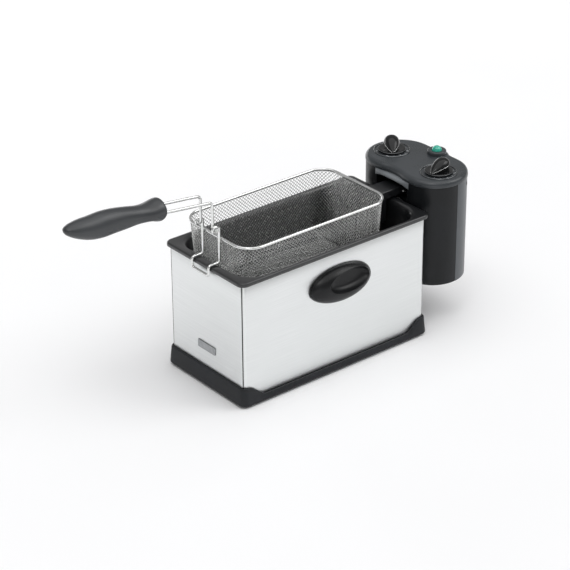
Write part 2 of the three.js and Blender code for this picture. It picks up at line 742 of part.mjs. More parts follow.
// Lid of the head: the deck that carries the knobs, with a rounded edge and a shallow hollow
// underneath.
function headDeckGeometry() {
  const { edge } = head;
  const outline = headOutline();
  const levels = [
    [0, head.deckBottom], [0, head.top - edge], [0.3 * edge, head.top - 0.3 * edge], [edge, head.top],
  ];
  const body = loft(levels.map(([inset, z]) => insetOutline(outline, inset)
    .map((point) => new THREE.Vector3(point.x, point.y, z))));
  const hollow = headPrism(head.wall, head.deckBottom - 1, head.top - head.deckThickness);
  const shaftHoles = [-knob.y, knob.y].map((y) => rod('z', knob.shaftRadius + 0.8,
    head.deckBottom - 1, head.top + 1, [knob.x, y]));
  const lampHole = rod('z', lamp.bodyRadius + gap, head.deckBottom - 1, head.top + 1, [lamp.x, 0]);
  return cut(body, hollow, ...shaftHoles, lampHole);
}

function headBottomGeometry() {
  const inset = head.shellInset + head.wall + gap;
  const plate = headPrism(inset, head.bottom, head.bottom + head.bottomCover);
  const slot = boxBetween(
    [switchTab.reachX - 8, -switchTab.halfWidth - 1, head.bottom - 1],
    [switchTab.reachX + 2, switchTab.halfWidth + 1, head.bottom + 5],
  );
  return cut(plate, slot);
}

function addHeadCasing(parent) {
  addPart(parent, 'head_front_shell', headFrontShellGeometry(), headPlastic);
  addPart(parent, 'head_rear_shell', headRearShellGeometry(), headGrey);
  addPart(parent, 'head_deck', headDeckGeometry(), headPlastic);
  addPart(parent, 'head_bottom_cover', headBottomGeometry(), headPlastic);
  for (const [number, y] of [[1, -rail.y], [2, rail.y]]) {
    const block = boxBetween(
      [housing.halfLength + rail.wall + 2 * gap, y - shoe.halfWidth, shoe.bottom],
      [shoeBackX(y) - gap, y + shoe.halfWidth, shoe.top],
    );
    addPart(parent, `head_guide_shoe_${number}`, block, blackPlastic);
  }
}

// The front shell bows inwards towards the waist, so the shoes stop at its nearest point.
function shoeBackX(y) {
  const across = [y - shoe.halfWidth, y, y + shoe.halfWidth];
  return Math.min(...across.map(headFrontXAt)) + head.shellInset;
}

// ---------------------------------------------------------------- arm and heating element

// Hollow arm of folded sheet: it runs out of the head's pocket, over the rim, and down into the
// tank.  It is open at the end inside the head.
function bridgeArmGeometry() {
  const a = arm;
  const profile = (inset, endX) => polygon([
    [endX, a.bottom + inset], [endX, a.top - inset], [a.tipX + a.topBevel, a.top - inset],
    [a.tipX + inset, a.top - a.topBevel], [a.tipX + inset, a.legBottom + inset],
    [a.legX - inset, a.legBottom + inset], [a.legX - inset, a.bottom + inset],
  ]);
  const outside = prismY(profile(0, a.headX), -a.halfWidth, a.halfWidth);
  const inside = prismY(profile(a.sheet, a.headX + 5), a.sheet - a.halfWidth, a.halfWidth - a.sheet);
  const leadHoles = [-element.leadHalfY, element.leadHalfY].map((y) => rod('z', element.radius + gap,
    a.legBottom - 2, a.legBottom + 4, [element.leadX, y], 12));
  return cut(outside, inside, ...leadHoles);
}

// One tubular heater, bent from its two leads into four long runs above the tank floor.
function heatingElementGeometry() {
  const e = element;
  const leadTop = arm.legBottom + 12;
  const half = (side) => [
    [e.leadX, side * e.leadHalfY, leadTop], [e.leadX, side * e.leadHalfY, e.plane],
    [e.nearX, side * e.leadHalfY, e.plane], [e.nearX, side * e.outerY, e.plane],
    [e.farX, side * e.outerY, e.plane], [e.farX, side * e.innerY, e.plane],
    [e.innerX, side * e.innerY, e.plane],
  ];
  return openWire([...half(-1), ...half(1).reverse()], e.radius, e.bend);
}

function bulbGeometry() {
  const capillary = openWire([
    [element.leadX - 4, 0, arm.legBottom - gap], [element.leadX - 4, 0, bulb.z],
    [bulb.startX - 2, 0, bulb.z],
  ], bulb.capillaryRadius, 6);
  return join(capillary, rod('x', bulb.radius, bulb.endX, bulb.startX, [0, bulb.z], 14));
}

// Strip across the runs of the element that holds them apart; it carries the bulb above them.
function elementClipGeometry() {
  const e = element;
  const low = e.clipX - e.clipWidth / 2;
  const high = e.clipX + e.clipWidth / 2;
  const reach = e.outerY + e.radius + e.clipRing;
  const strip = boxBetween(
    [low, -reach, e.plane - e.clipThickness / 2], [high, reach, e.plane + e.clipThickness / 2],
  );
  const across = (radius, extra) => [-e.outerY, -e.innerY, e.innerY, e.outerY]
    .map((y) => rod('x', radius, low - extra, high + extra, [y, e.plane], 12));
  return cut(join(strip, ...across(e.radius + e.clipRing, 0)), ...across(e.radius + gap, 1));
}

function addArm(parent) {
  addPart(parent, 'bridge_arm', bridgeArmGeometry(), enamel);
  addPart(parent, 'heating_element', heatingElementGeometry(), zincSteel);
  addPart(parent, 'element_clip', elementClipGeometry(), zincSteel);
  addPart(parent, 'thermostat_bulb', bulbGeometry(), chrome);
  for (const [number, side] of [[1, -1], [2, 1]]) {
    const screw = rod('y', armScrew.radius, 0, armScrew.height, [0, 0], 14);
    const y = side > 0 ? arm.halfWidth + gap : -arm.halfWidth - gap - armScrew.height;
    addPart(parent, `arm_screw_${number}`, screw, chrome, [armScrew.x, y, armScrew.z]);
  }
}

// ---------------------------------------------------------------- controls

// Low round skirt with a grip like a boat's hull: sharp and low at the pointing end, full and
// high towards the other end, and wider at the crease along its side than where it meets the
// skirt.
function knobGeometry() {
  const k = knob;
  const skirt = new THREE.LatheGeometry([
    [0, 0], [k.skirtRadius, 0], [k.skirtRadius, k.skirtHeight - 1],
    [k.skirtRadius - 1.2, k.skirtHeight], [0, k.skirtHeight],
  ].map(([x, y]) => new THREE.Vector2(x, y)), 28).rotateX(Math.PI / 2);
  const sections = [
    // place along the grip, half width at the crease, height of the crease, height of the top
    [-17.4, 1.2, 2.8, 3.6],
    [-12, 5, 4.4, 7.8],
    [-6, 8, 6, 11.8],
    [0, 10, 7.4, 14.7],
    [6, 10.8, 8.4, 16.2],
    [11, 10, 8.9, k.height],
    [15, 7.4, 8.6, 14.8],
    [17.6, 3, 7.8, 11.2],
  ].map(([x, wide, crease, top]) => [
    [-0.75 * wide, 1], [0.75 * wide, 1], [wide, crease], [0.55 * wide, crease + 0.75 * (top - crease)],
    [0, top], [-0.55 * wide, crease + 0.75 * (top - crease)], [-wide, crease],
  ].map(([y, z]) => new THREE.Vector3(x, y, z)));
  const bore = rod('z', k.shaftRadius + 0.05, -1, k.boreDepth, [0, 0], 16);
  return cut(join(skirt, loft(sections)), bore);
}

function dialRingGeometry() {
  const ring = rod('z', knob.ringRadius, 0, knob.ringHeight, [0, 0], 28);
  const hole = rod('z', knob.ringRadius - knob.ringWidth, -1, knob.ringHeight + 1, [0, 0], 28);
  return cut(ring, hole);
}

// Switch body below the deck, with a socket in which the knob's shaft turns.
function controlBodyGeometry(radius, height) {
  const body = rod('z', radius, 0, height, [0, 0], 20);
  const socket = rod('z', knob.shaftRadius + gap, height - shaftSocket, height + 1, [0, 0], 16);
  return cut(body, socket);
}

function addKnob(parent, name, y, body, bodyMaterial) {
  const deckUnderside = head.top - head.deckThickness;
  addPart(parent, `${name}_dial_ring`, dialRingGeometry(), chrome, [knob.x, y, head.top + gap]);
  const bodyZ = deckUnderside - gap - body.height;
  addPart(parent, `${name}_body`, controlBodyGeometry(body.radius, body.height), bodyMaterial,
    [knob.x, y, bodyZ]);
  const knobMesh = addPart(parent, `${name}_knob`, knobGeometry(), glossBlack,
    [knob.x, y, head.top + knob.lift]);
  knobMesh.rotation.z = THREE.MathUtils.degToRad(body.knobTurn);
  const shaftBottom = bodyZ + body.height - shaftSocket + gap;
  const shaftTop = head.top + knob.lift + knob.boreDepth - gap;
  addPart(parent, `${name}_shaft`, rod('z', knob.shaftRadius - 0.25, shaftBottom, shaftTop, [0, 0], 16),
    brassMetal, [knob.x, y, 0]);
}

function addLamp(parent) {
  const bezel = cut(
    rod('z', lamp.bezelRadius, 0, lamp.bezelHeight, [0, 0], 24),
    rod('z', lamp.lensRadius + gap, -1, lamp.bezelHeight + 1, [0, 0], 24),
  );
  addPart(parent, 'lamp_bezel', bezel, headPlastic, [lamp.x, 0, head.top + gap]);
  const domeHeight = lamp.lensHeight - lamp.bezelHeight;
  const domeProfile = [0, 0.5, 0.82, 1].map((part) => new THREE.Vector2(
    lamp.lensRadius * Math.cos((part * Math.PI) / 2),
    lamp.bezelHeight + domeHeight * Math.sin((part * Math.PI) / 2),
  ));
  domeProfile.at(-1).x = 0;
  const dome = new THREE.LatheGeometry(
    [new THREE.Vector2(0, 0), new THREE.Vector2(lamp.lensRadius, 0), ...domeProfile], 20,
  ).rotateX(Math.PI / 2);
  addPart(parent, 'indicator_lens', dome, greenLens, [lamp.x, 0, head.top + gap]);
  addPart(parent, 'indicator_lamp', rod('z', lamp.bodyRadius, lamp.bodyBottom, head.top, [0, 0], 16),
    switchPlastic, [lamp.x, 0, 0]);
}

function addHeadInside(parent) {
  const block = ({ low, high }) => boxBetween(low, high);
  addPart(parent, 'thermal_cutout', block(thermalCutout), switchPlastic);
  addPart(parent, 'terminal_block', block(terminalBlock), switchPlastic);
  addPart(parent, 'safety_microswitch', block(microswitch), blackPlastic);
  const button = resetButton;
  const buttonAt = [button.y, button.z];
  const buttonStart = head.backX - button.inside;
  const plunger = join(
    rod('x', button.radius, buttonStart, head.backX + button.outside, buttonAt, 16),
    rod('x', button.collarRadius, buttonStart, buttonStart + button.collar, buttonAt, 16),
  );
  addPart(parent, 'reset_button', plunger, redPlastic);
  const glandAt = [gland.y, gland.z];
  const glandBody = join(
    rod('x', gland.flangeRadius, head.backX, head.backX + gland.flange, glandAt, 20),
    rod('x', gland.bodyRadius, head.backX - gland.inside, head.backX + gland.outside, glandAt, 20),
  );
  const cable = rod('x', gland.boreRadius, head.backX - 20, head.backX + 20, glandAt, 14);
  addPart(parent, 'mains_cable_gland', cut(glandBody, cable), rubber);
}

// ---------------------------------------------------------------- the whole fryer

const fryer = new THREE.Group();
addBody(fryer);
addSideHandles(fryer);
addHeadGuides(fryer);

const basketGroup = new THREE.Group();
addBasket(basketGroup);
addBasketHandle(basketGroup);
fryer.add(basketGroup);

const controlHead = new THREE.Group();
addHeadCasing(controlHead);
addArm(controlHead);
addKnob(controlHead, 'timer', knob.y, timerBody, switchPlastic);
addKnob(controlHead, 'thermostat', -knob.y, thermostatBody, zincSteel);
addLamp(controlHead);
addHeadInside(controlHead);
fryer.add(controlHead);

const extent = new THREE.Box3().setFromObject(fryer, true);
fryer.position.x = -(extent.min.x + extent.max.x) / 2;

export default fryer;
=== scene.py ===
"""Looks of a deep fryer: detail pieces, procedural materials, studio light and camera.

Shapes are drawn in millimetres about the middle of the steel housing, as the CAD part is, and are
put into the frame, in metres, when a piece is made.  X runs along the fryer, with the basket handle
at -X and the control head at +X, and the front side faces -Y.
"""

import math
from math import cos, hypot, pi, radians, sin
from types import SimpleNamespace

import bmesh
import bpy
from mathutils import Matrix, Vector


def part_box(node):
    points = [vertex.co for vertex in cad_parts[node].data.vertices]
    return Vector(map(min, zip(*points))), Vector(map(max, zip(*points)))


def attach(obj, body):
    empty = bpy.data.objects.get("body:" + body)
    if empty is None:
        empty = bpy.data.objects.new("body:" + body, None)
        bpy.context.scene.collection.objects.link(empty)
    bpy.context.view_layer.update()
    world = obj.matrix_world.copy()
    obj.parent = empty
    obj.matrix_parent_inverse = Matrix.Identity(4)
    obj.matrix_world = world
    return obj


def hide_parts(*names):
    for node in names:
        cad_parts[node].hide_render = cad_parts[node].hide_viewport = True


MM = 0.001

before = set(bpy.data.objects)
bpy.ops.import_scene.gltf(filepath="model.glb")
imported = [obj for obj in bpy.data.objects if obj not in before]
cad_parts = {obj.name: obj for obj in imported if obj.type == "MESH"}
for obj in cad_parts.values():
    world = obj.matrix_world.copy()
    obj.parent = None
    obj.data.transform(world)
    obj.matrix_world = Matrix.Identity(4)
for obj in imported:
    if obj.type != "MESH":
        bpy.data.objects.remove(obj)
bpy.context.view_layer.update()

housing_low, housing_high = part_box("outer_housing")
ORIGIN_X = (housing_low.x + housing_high.x) / 2


def to_frame(point):
    return Vector((ORIGIN_X + point[0] * MM, point[1] * MM, point[2] * MM))


def span(node):
    """A CAD node's extent, in millimetres about the middle of the housing."""
    low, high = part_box(node)
    x0, x1 = (low.x - ORIGIN_X) / MM, (high.x - ORIGIN_X) / MM
    y0, y1, z0, z1 = low.y / MM, high.y / MM, low.z / MM, high.z / MM
    return SimpleNamespace(
        x0=x0, x1=x1, y0=y0, y1=y1, z0=z0, z1=z1,
        x=(x0 + x1) / 2, y=(y0 + y1) / 2, z=(z0 + z1) / 2,
        half_x=(x1 - x0) / 2, half_y=(y1 - y0) / 2, half_z=(z1 - z0) / 2,
    )


# ---------------------------------------------------------------- shader helpers


def linear(value):
    """One 0-255 display value as scene light."""
    share = value / 255
    return share / 12.92 if share <= 0.04045 else ((share + 0.055) / 1.055) ** 2.4


def colour(red, green, blue):
    return (linear(red), linear(green), linear(blue), 1.0)


class Finish:
    """A Principled material and a few node recipes that feed it."""

    def __init__(self, name):
        self.material = bpy.data.materials.new(name)
        self.material.use_nodes = True
        self.tree = self.material.node_tree
        self.shader = self.tree.nodes["Principled BSDF"]
        self.place = self.node("TexCoord").outputs["Object"]

    def put(self, value, socket):
        """Sets a socket to a fixed value, or links another socket to it."""
        if isinstance(value, (int, float, tuple)):
            socket.default_value = value
        else:
            self.tree.links.new(value, socket)

    def fill(self, node, inputs):
        """Puts values into the inputs of these names, with underscores for spaces."""
        for name, value in inputs.items():
            self.put(value, node.inputs[name.replace("_", " ")])

    def node(self, kind, **inputs):
        node = self.tree.nodes.new("ShaderNode" + kind)
        self.fill(node, inputs)
        return node

    def noise(self, scale, detail=2.0, roughness=0.5, stretch=(1, 1, 1)):
        """Noise from 0 to 1, with scale features per metre, multiplied along each axis."""
        place = self.node("Mapping", Scale=stretch, Vector=self.place).outputs["Vector"]
        node = self.node("TexNoise", Scale=scale, Detail=detail, Roughness=roughness, Vector=place)
        return node.outputs["Fac"]

    def cells(self, scale):
        """Voronoi cells: a flat random value in each."""
        cells = self.node("TexVoronoi", Scale=scale, Vector=self.place)
        return self.node("SeparateColor", Color=cells.outputs["Color"]).outputs["Red"]

    def remap(self, value, low, high, source_low=0.3, source_high=0.7):
        node = self.node("MapRange", Value=value, From_Min=source_low, From_Max=source_high)
        self.fill(node, {"To Min": low, "To Max": high})
        return node.outputs["Result"]

    def blend(self, factor, first, second):
        """A mix of two colours, each a fixed colour or a socket."""
        node = self.node("Mix")
        node.data_type = "RGBA"
        for index, value in ((0, factor), (6, first), (7, second)):
            self.put(value, node.inputs[index])
        return node.outputs[2]

    def add(self, first, second):
        node = self.node("Math")
        node.operation = "ADD"
        self.put(first, node.inputs[0])
        self.put(second, node.inputs[1])
        return node.outputs[0]

    def bump(self, *layers):
        """Surface relief from layers of (height from 0 to 1, relief in metres)."""
        below = {}
        for height, relief in layers:
            node = self.node("Bump", Strength=1.0, Distance=relief, Height=height, **below)
            below = {"Normal": node.outputs["Normal"]}
        self.feed(**below)

    def feed(self, **inputs):
        """Puts values into the shader and hands back the material."""
        self.fill(self.shader, inputs)
        return self.material


# ---------------------------------------------------------------- materials


def brushed_steel():
    """Housing sheet: fine level brushing, soft clouding and a few handling marks."""
    f = Finish("brushed_steel")
    streaks = f.noise(1.0, detail=3, roughness=0.6, stretch=(14, 14, 1600))
    broad = f.noise(1.0, detail=2, stretch=(5, 5, 220))
    clouds = f.noise(9, detail=3)
    tone = f.blend(f.remap(streaks, 0, 1), colour(226, 228, 228), colour(236, 238, 238))
    tone = f.blend(f.remap(clouds, 0.0, 0.45), tone, colour(226, 229, 228))
    roughness = f.add(f.remap(streaks, 0.31, 0.36), f.remap(broad, -0.02, 0.02))
    f.bump((streaks, 0.000006))
    return f.feed(Base_Color=tone, Roughness=roughness, Metallic=1.0)


def worn(name, first, second, roughness, patches, relief, grain=None, contrast=(0.3, 0.7), **fixed):
    """A finish in two tones that mingle in patches; the relief, in metres, follows the grain or the patches.

    patches and grain are (features per metre, detail, roughness, stretch) as Finish.noise takes them.
    """
    f = Finish(name)
    patch = f.noise(*patches)
    tone = f.blend(f.remap(patch, 0, 1, *contrast), first, second)
    f.bump((f.noise(*grain) if grain else patch, relief))
    return f.feed(Base_Color=tone, Roughness=f.remap(patch, *roughness), **fixed)


def plated(name, bright, dull, roughness):
    """Plated metal with faint tarnish."""
    return worn(name, bright, dull, roughness, (160, 3), 0.00002, (900, 2), Metallic=1.0)


def zinc_sheet():
    """Zinc-plated folded steel with a dull spangle."""
    f = Finish("zinc_sheet")
    spangle = f.cells(320)
    tone = f.blend(spangle, colour(168, 170, 170), colour(194, 197, 198))
    f.bump((f.noise(1400, detail=2), 0.00002))
    return f.feed(Base_Color=tone, Roughness=f.remap(spangle, 0.38, 0.52, 0, 1), Metallic=0.9)


def tank_coating():
    """Dark non-stick coating: low gloss with a fine orange-peel surface."""
    f = Finish("tank_coating")
    peel = f.noise(950, detail=2)
    fleck = f.noise(2600, detail=1)
    tone = f.blend(f.remap(fleck, 0, 1, 0.62, 0.75), colour(24, 25, 27), colour(52, 54, 57))
    f.bump((peel, 0.00003))
    return f.feed(Base_Color=tone, Roughness=f.remap(peel, 0.28, 0.36), Coat_Weight=0.5, Coat_Roughness=0.14)


def moulded_plastic(name, dark, light, roughness, shine=0.5):
    """Moulded plastic with a spark-eroded grain and slight unevenness of colour."""
    f = Finish(name)
    uneven = f.noise(24, detail=3)
    texture = f.noise(1500, detail=2)
    tone = f.blend(f.remap(uneven, 0, 1), dark, light)
    gloss = f.add(f.remap(uneven, *roughness), f.remap(texture, -0.03, 0.03))
    f.bump((texture, 0.00005), (f.noise(60, detail=1), 0.00012))
    return f.feed(Base_Color=tone, Roughness=gloss, Specular_IOR_Level=shine)


STEEL = brushed_steel()
CHROME = plated("chrome_wire", colour(238, 239, 240), colour(216, 217, 214), (0.09, 0.17))
WEAVE = plated("woven_wire", colour(216, 217, 216), colour(180, 181, 179), (0.2, 0.3))
PLATE = plated("name_plate_metal", colour(176, 178, 180), colour(160, 162, 164), (0.3, 0.4))
DARK_CHROME = plated("dark_plating", colour(120, 122, 124), colour(98, 100, 102), (0.2, 0.3))
ZINC = zinc_sheet()
# Steel tube greyed and browned by heat.
HEATER = worn(
    "heater_tube", colour(128, 126, 122), colour(92, 84, 76), (0.34, 0.5), (28, 4), 0.00003,
    grain=(1600, 2), Metallic=0.85,
)
COATING = tank_coating()
BLACK = moulded_plastic("satin_black_plastic", colour(13, 14, 15), colour(19, 20, 22), (0.27, 0.34), 0.3)
# The grip's plastic is a lightened copy of the satin black: partly a rougher, shinier surface, partly a
# painted sheen for its broad highlights.
GRIP_PAINTED_SHEEN = moulded_plastic("grip_plastic_painted_sheen", colour(42, 44, 47), colour(50, 53, 56), (0.34, 0.42), 0.65)
BASE_BLACK = moulded_plastic("base_plastic", colour(26, 28, 31), colour(34, 36, 40), (0.42, 0.52), 0.3)
HEAD = moulded_plastic("head_plastic", colour(48, 52, 55), colour(58, 62, 66), (0.26, 0.33))
# The front casing's plastic is a darkened copy of the lid's plastic: painted shade for the dark reflections
# on the front lobes. The arm recess lining and the bottom cover use it too.
HEAD_PAINTED_SHADE_DARK = moulded_plastic("head_front_plastic_painted_shade", colour(17, 19, 21), colour(24, 26, 29), (0.30, 0.38), 0.28)
# The rear casing's plastic is a lightened copy of the lid's plastic: painted highlight for the floor's
# reflection on the rear lobe.
HEAD_PAINTED_HIGHLIGHT_GREY = moulded_plastic("head_rear_plastic_painted_highlight", colour(66, 70, 74), colour(78, 82, 86), (0.3, 0.38))
# The hood's light grey is a painted highlight along its lip and sloping face.
HOOD_PAINTED_HIGHLIGHT = moulded_plastic("hood_plastic_painted_highlight", colour(112, 116, 120), colour(124, 128, 132), (0.26, 0.33))
# Polished black knobs with fine rubbing marks.
GLOSS = worn(
    "gloss_black_plastic", colour(7, 8, 9), colour(13, 14, 16), (0.14, 0.22), (40, 2), 0.000015,
    grain=(1.0, 3, 0.5, (700, 90, 260)), Specular_IOR_Level=0.32, Coat_Weight=0.1, Coat_Roughness=0.06,
)
RUBBER = worn(
    "foot_rubber", colour(22, 22, 22), colour(44, 43, 41), (0.75, 0.92), (120, 4), 0.0001,
    grain=(2200, 2), contrast=(0.45, 0.75),
)
BRASS = worn(
    "shaft_brass", colour(186, 158, 92), colour(206, 182, 118), (0.26, 0.38),
    (1.0, 2, 0.5, (30, 30, 3000)), 0.00002, Metallic=1.0,
)
# Clear green lens with fine prisms inside.
LENS = worn(
    "lens_green", colour(6, 150, 128), colour(30, 186, 160), (0.12, 0.12), (700, 1), 0.00012,
    Coat_Weight=1.0, Coat_Roughness=0.04, Emission_Color=colour(10, 150, 128), Emission_Strength=0.12,
)
RED = worn(
    "button_red", colour(176, 34, 26), colour(196, 48, 36), (0.3, 0.42), (90, 2), 0.00004, grain=(1800, 2),
)
CREAM = worn(
    "switch_moulding", colour(214, 206, 188), colour(226, 220, 204), (0.45, 0.6), (60, 3), 0.00005,
    grain=(1700, 2),
)
PRINT = worn(
    "dial_print", colour(196, 199, 202), colour(150, 153, 156), (0.4, 0.55), (800, 3), 0.00001,
    contrast=(0.55, 0.75),
)


# ---------------------------------------------------------------- mesh helpers


def placed(name, data):
    """An object in the scene that shows this mesh, text, light or camera."""
    obj = bpy.data.objects.new(name, data)
    bpy.context.collection.objects.link(obj)
    return obj


def made_mesh(obj):
    """The mesh that an object's modifiers or its text come to."""
    bpy.context.view_layer.update()
    return bpy.data.meshes.new_from_object(obj.evaluated_get(bpy.context.evaluated_depsgraph_get()))


def new_object(name, points, faces):
    """An object from points in millimetres, with every face turned outwards."""
    mesh = bpy.data.meshes.new(name)
    mesh.from_pydata([to_frame(p) for p in points], [], faces)
    shape = bmesh.new()
    shape.from_mesh(mesh)
    bmesh.ops.recalc_face_normals(shape, faces=shape.faces)
    shape.to_mesh(mesh)
    shape.free()
    return placed(name, mesh)


def shade(obj, crease):
    """Smooth shading, broken at edges sharper than this angle in degrees."""
    obj.data.shade_smooth()
    obj.data.set_sharp_from_angle(angle=radians(crease))


def piece(name, parts, material, body, stands_for=(), crease=35):
    """Makes one object from (points, faces) parts and puts it on its body."""
    points, faces = [], []
    for part_points, part_faces in parts:
        start = len(points)
        points.extend(part_points)
        faces.extend([start + i for i in face] for face in part_faces)
    obj = new_object(name, points, faces)
    shade(obj, crease)
    obj.data.materials.append(material)
    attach(obj, body)
    if stands_for:
        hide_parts(*stands_for)
    return obj


def soften(obj, width, segments=2):
    """Rounds the sharp edges by a bevel width in millimetres."""
    bevel = obj.modifiers.new("rounded_edges", "BEVEL")
    bevel.width = width * MM
    bevel.segments = segments
    bevel.limit_method = "ANGLE"
    bevel.angle_limit = radians(40)
    bevel.harden_normals = False


def skin(rings, joined=False):
    """A surface over rings with equal point counts, capped at both ends or joined into a loop."""
    count, total = len(rings[0]), len(rings) * len(rings[0])
    points = [p for ring in rings for p in ring]
    faces = []
    for r in range(len(rings) if joined else len(rings) - 1):
        for i in range(count):
            a, b = r * count + i, r * count + (i + 1) % count
            faces.append((a, b, (b + count) % total, (a + count) % total))
    if not joined:
        faces += [tuple(range(count)), tuple(range(total - count, total))]
    return points, faces


def around(steps):
    """Angles of equal steps round a full turn."""
    return [2 * pi * step / steps for step in range(steps)]


def heading(angle):
    return Vector((cos(angle), sin(angle), 0))


def moved(part, matrix):
    """A part's points turned and moved, in millimetres."""
    points, faces = part
    return [matrix @ Vector(p) for p in points], faces


def rounded_ring(half_x, half_y, radius, z, x=0.0, steps=10):
    """A level rounded rectangle about Y = 0, counter-clockwise."""
    ring = []
    for corner, (sx, sy) in enumerate(((1, 1), (-1, 1), (-1, -1), (1, -1))):
        for step in range(steps + 1):
            angle = pi / 2 * (corner + step / steps)
            ring.append((
                x + sx * (half_x - radius) + radius * cos(angle),
                sy * (half_y - radius) + radius * sin(angle),
                z,
            ))
    return ring


def turned(profile, axis_point, axis="Z", steps=48, joined=False):
    """A surface of revolution: profile points are (radius, height along the axis)."""
    rings = []
    for radius, height in profile:
        ring = []
        for angle in around(steps):
            u, v = max(radius, 0.001) * cos(angle), max(radius, 0.001) * sin(angle)
            local = {"X": (height, u, v), "Y": (u, height, v), "Z": (u, v, height)}[axis]
            ring.append(tuple(a + b for a, b in zip(axis_point, local)))
        rings.append(ring)
    return skin(rings, joined)


def bent(corners, radius, closed=False, steps=8):
    """Points along a wire whose straight runs are joined by round bends."""
    corners = [Vector(c) for c in corners]
    count = len(corners)
    points = []
    for i, corner in enumerate(corners):
        if not closed and i in (0, count - 1):
            points.append(corner)
            continue
        before = (corners[i - 1] - corner).normalized()
        after = (corners[(i + 1) % count] - corner).normalized()
        half = before.angle(after) / 2
        centre = corner + (before + after).normalized() * (radius / sin(half))
        spoke = corner + before * (radius / math.tan(half)) - centre
        axis = after.cross(before).normalized()
        turn = pi - 2 * half
        for step in range(steps + 1):
            points.append(centre + Matrix.Rotation(turn * step / steps, 3, axis) @ spoke)
    return points


def tube(points, radius, sides=14, closed=False):
    """A round wire along points, with its section carried along without twisting."""
    points = [Vector(p) for p in points]
    count = len(points)
    tangents = []
    for i in range(count):
        before = points[i - 1] if closed or i else points[0]
        after = points[(i + 1) % count] if closed or i < count - 1 else points[-1]
        tangents.append((after - before).normalized())
    side = tangents[0].orthogonal().normalized()
    rings = []
    for i, (point, tangent) in enumerate(zip(points, tangents)):
        if i:
            side = tangents[i - 1].rotation_difference(tangent) @ side
        side = (side - tangent * side.dot(tangent)).normalized()
        up = tangent.cross(side)
        rings.append([point + radius * (side * cos(a) + up * sin(a)) for a in around(sides)])
    return skin(rings, joined=closed)


def smooth_table(keys, place):
    """The values at a place along a table, eased between rows that each start with their own place."""
    last = len(keys) - 1
    index = max(i for i in range(last) if keys[i][0] <= place)
    before, here = keys[max(index - 1, 0)], keys[index]
    after, later = keys[index + 1], keys[min(index + 2, last)]
    gap = after[0] - here[0]
    t = (place - here[0]) / gap
    row = []
    for k in range(1, len(here)):
        slope_here = (after[k] - before[k]) / (after[0] - before[0]) * gap
        slope_after = (later[k] - here[k]) / (later[0] - here[0]) * gap
        row.append(
            (2 * t**3 - 3 * t**2 + 1) * here[k] + (t**3 - 2 * t**2 + t) * slope_here
            + (3 * t**2 - 2 * t**3) * after[k] + (t**3 - t**2) * slope_after
        )
    return row


def carve(obj, *cutters):
    """Takes the cutter parts out of the piece and keeps the result as its mesh."""
    for points, faces in cutters:
        cutter = new_object("cutter", points, faces)
        difference = obj.modifiers.new("cut", "BOOLEAN")
        difference.object = cutter
        difference.solver = "EXACT"
        difference.operation = "DIFFERENCE"
        result = made_mesh(obj)
        obj.modifiers.remove(difference)
        obj.data = result
        used_up = cutter.data
        bpy.data.objects.remove(cutter)
        bpy.data.meshes.remove(used_up)
    shade(obj, 35)


def block(x0, x1, y0, y1, z0, z1):
    points = [(x, y, z) for z in (z0, z1) for x, y in ((x0, y0), (x1, y0), (x1, y1), (x0, y1))]
    faces = [(3, 2, 1, 0), (4, 5, 6, 7), (0, 1, 5, 4), (1, 2, 6, 5), (2, 3, 7, 6), (3, 0, 4, 7)]
    return points, faces


# ---------------------------------------------------------------- base, feet and housing


def base_piece():
    """Moulded base: low along the sides, swept up round the ends, and flared towards the foot."""
    s = span("base_tray")
    strip_top, sweep_start, sweep_end = 11.5, 120.0, 148.0
    wall = 4.8

    def top(x):
        share = min(max((abs(x) - sweep_start) / (sweep_end - sweep_start), 0), 1)
        eased = sin(share * pi / 2) ** 1.6 if share < 1 else 1
        return strip_top + (s.z1 - strip_top) * eased

    def perimeter(inset, radius):
        half_x, half_y = s.half_x - inset, s.half_y - inset
        corner = rounded_ring(half_x, half_y, radius, 0, steps=12)
        ring = []
        for i, point in enumerate(corner):
            following = corner[(i + 1) % len(corner)]
            ring.append(point)
            # The long sides are divided so that they can follow the sweep.
            length = math.dist(point, following)
            divisions = 60 if length > 200 else 24 if length > 60 else 0
            for step in range(1, divisions):
                share = step / divisions
                ring.append(tuple(a + (b - a) * share for a, b in zip(point, following)))
        return ring

    flare = 2.4
    sections = (
        # inset, share of the way from the foot to the upper edge, height above that
        (3.2, 0, 0), (0.9, 0, 0), (0.15, 0, 1.0), (0.0, 0, 2.2), (flare * 0.45, 0.5, 0),
        (flare - 0.3, 1, -2.4), (flare + 0.1, 1, -0.8), (flare + 0.7, 1, -0.15), (flare + 1.3, 1, 0),
        (wall, 1, 0), (wall, 0, 2.5),
    )
    rows = []
    for inset, share, above in sections:
        ring = perimeter(inset, max(10 - inset, 5.0))
        rows.append([(x, y, s.z0 + share * (top(x) - s.z0) + above) for x, y, _ in ring])
    piece("base_skirt", [skin(rows)], BASE_BLACK, "appliance", ["base_tray"])


def foot_pieces():
    """Four turned rubber feet."""
    for number in (1, 2, 3, 4):
        s = span(f"foot_{number}")
        profile = [
            (0, 0.3), (s.half_x * 0.55, 0.3), (s.half_x * 0.62, 0), (s.half_x - 0.8, 0), (s.half_x, 0.7),
            (s.half_x, s.z1 - 0.4), (s.half_x - 0.4, s.z1), (0, s.z1),
        ]
        piece(
            f"rubber_foot_{number}", [turned(profile, (s.x, s.y, 0), steps=32)], RUBBER,
            "appliance", [f"foot_{number}"],
        )


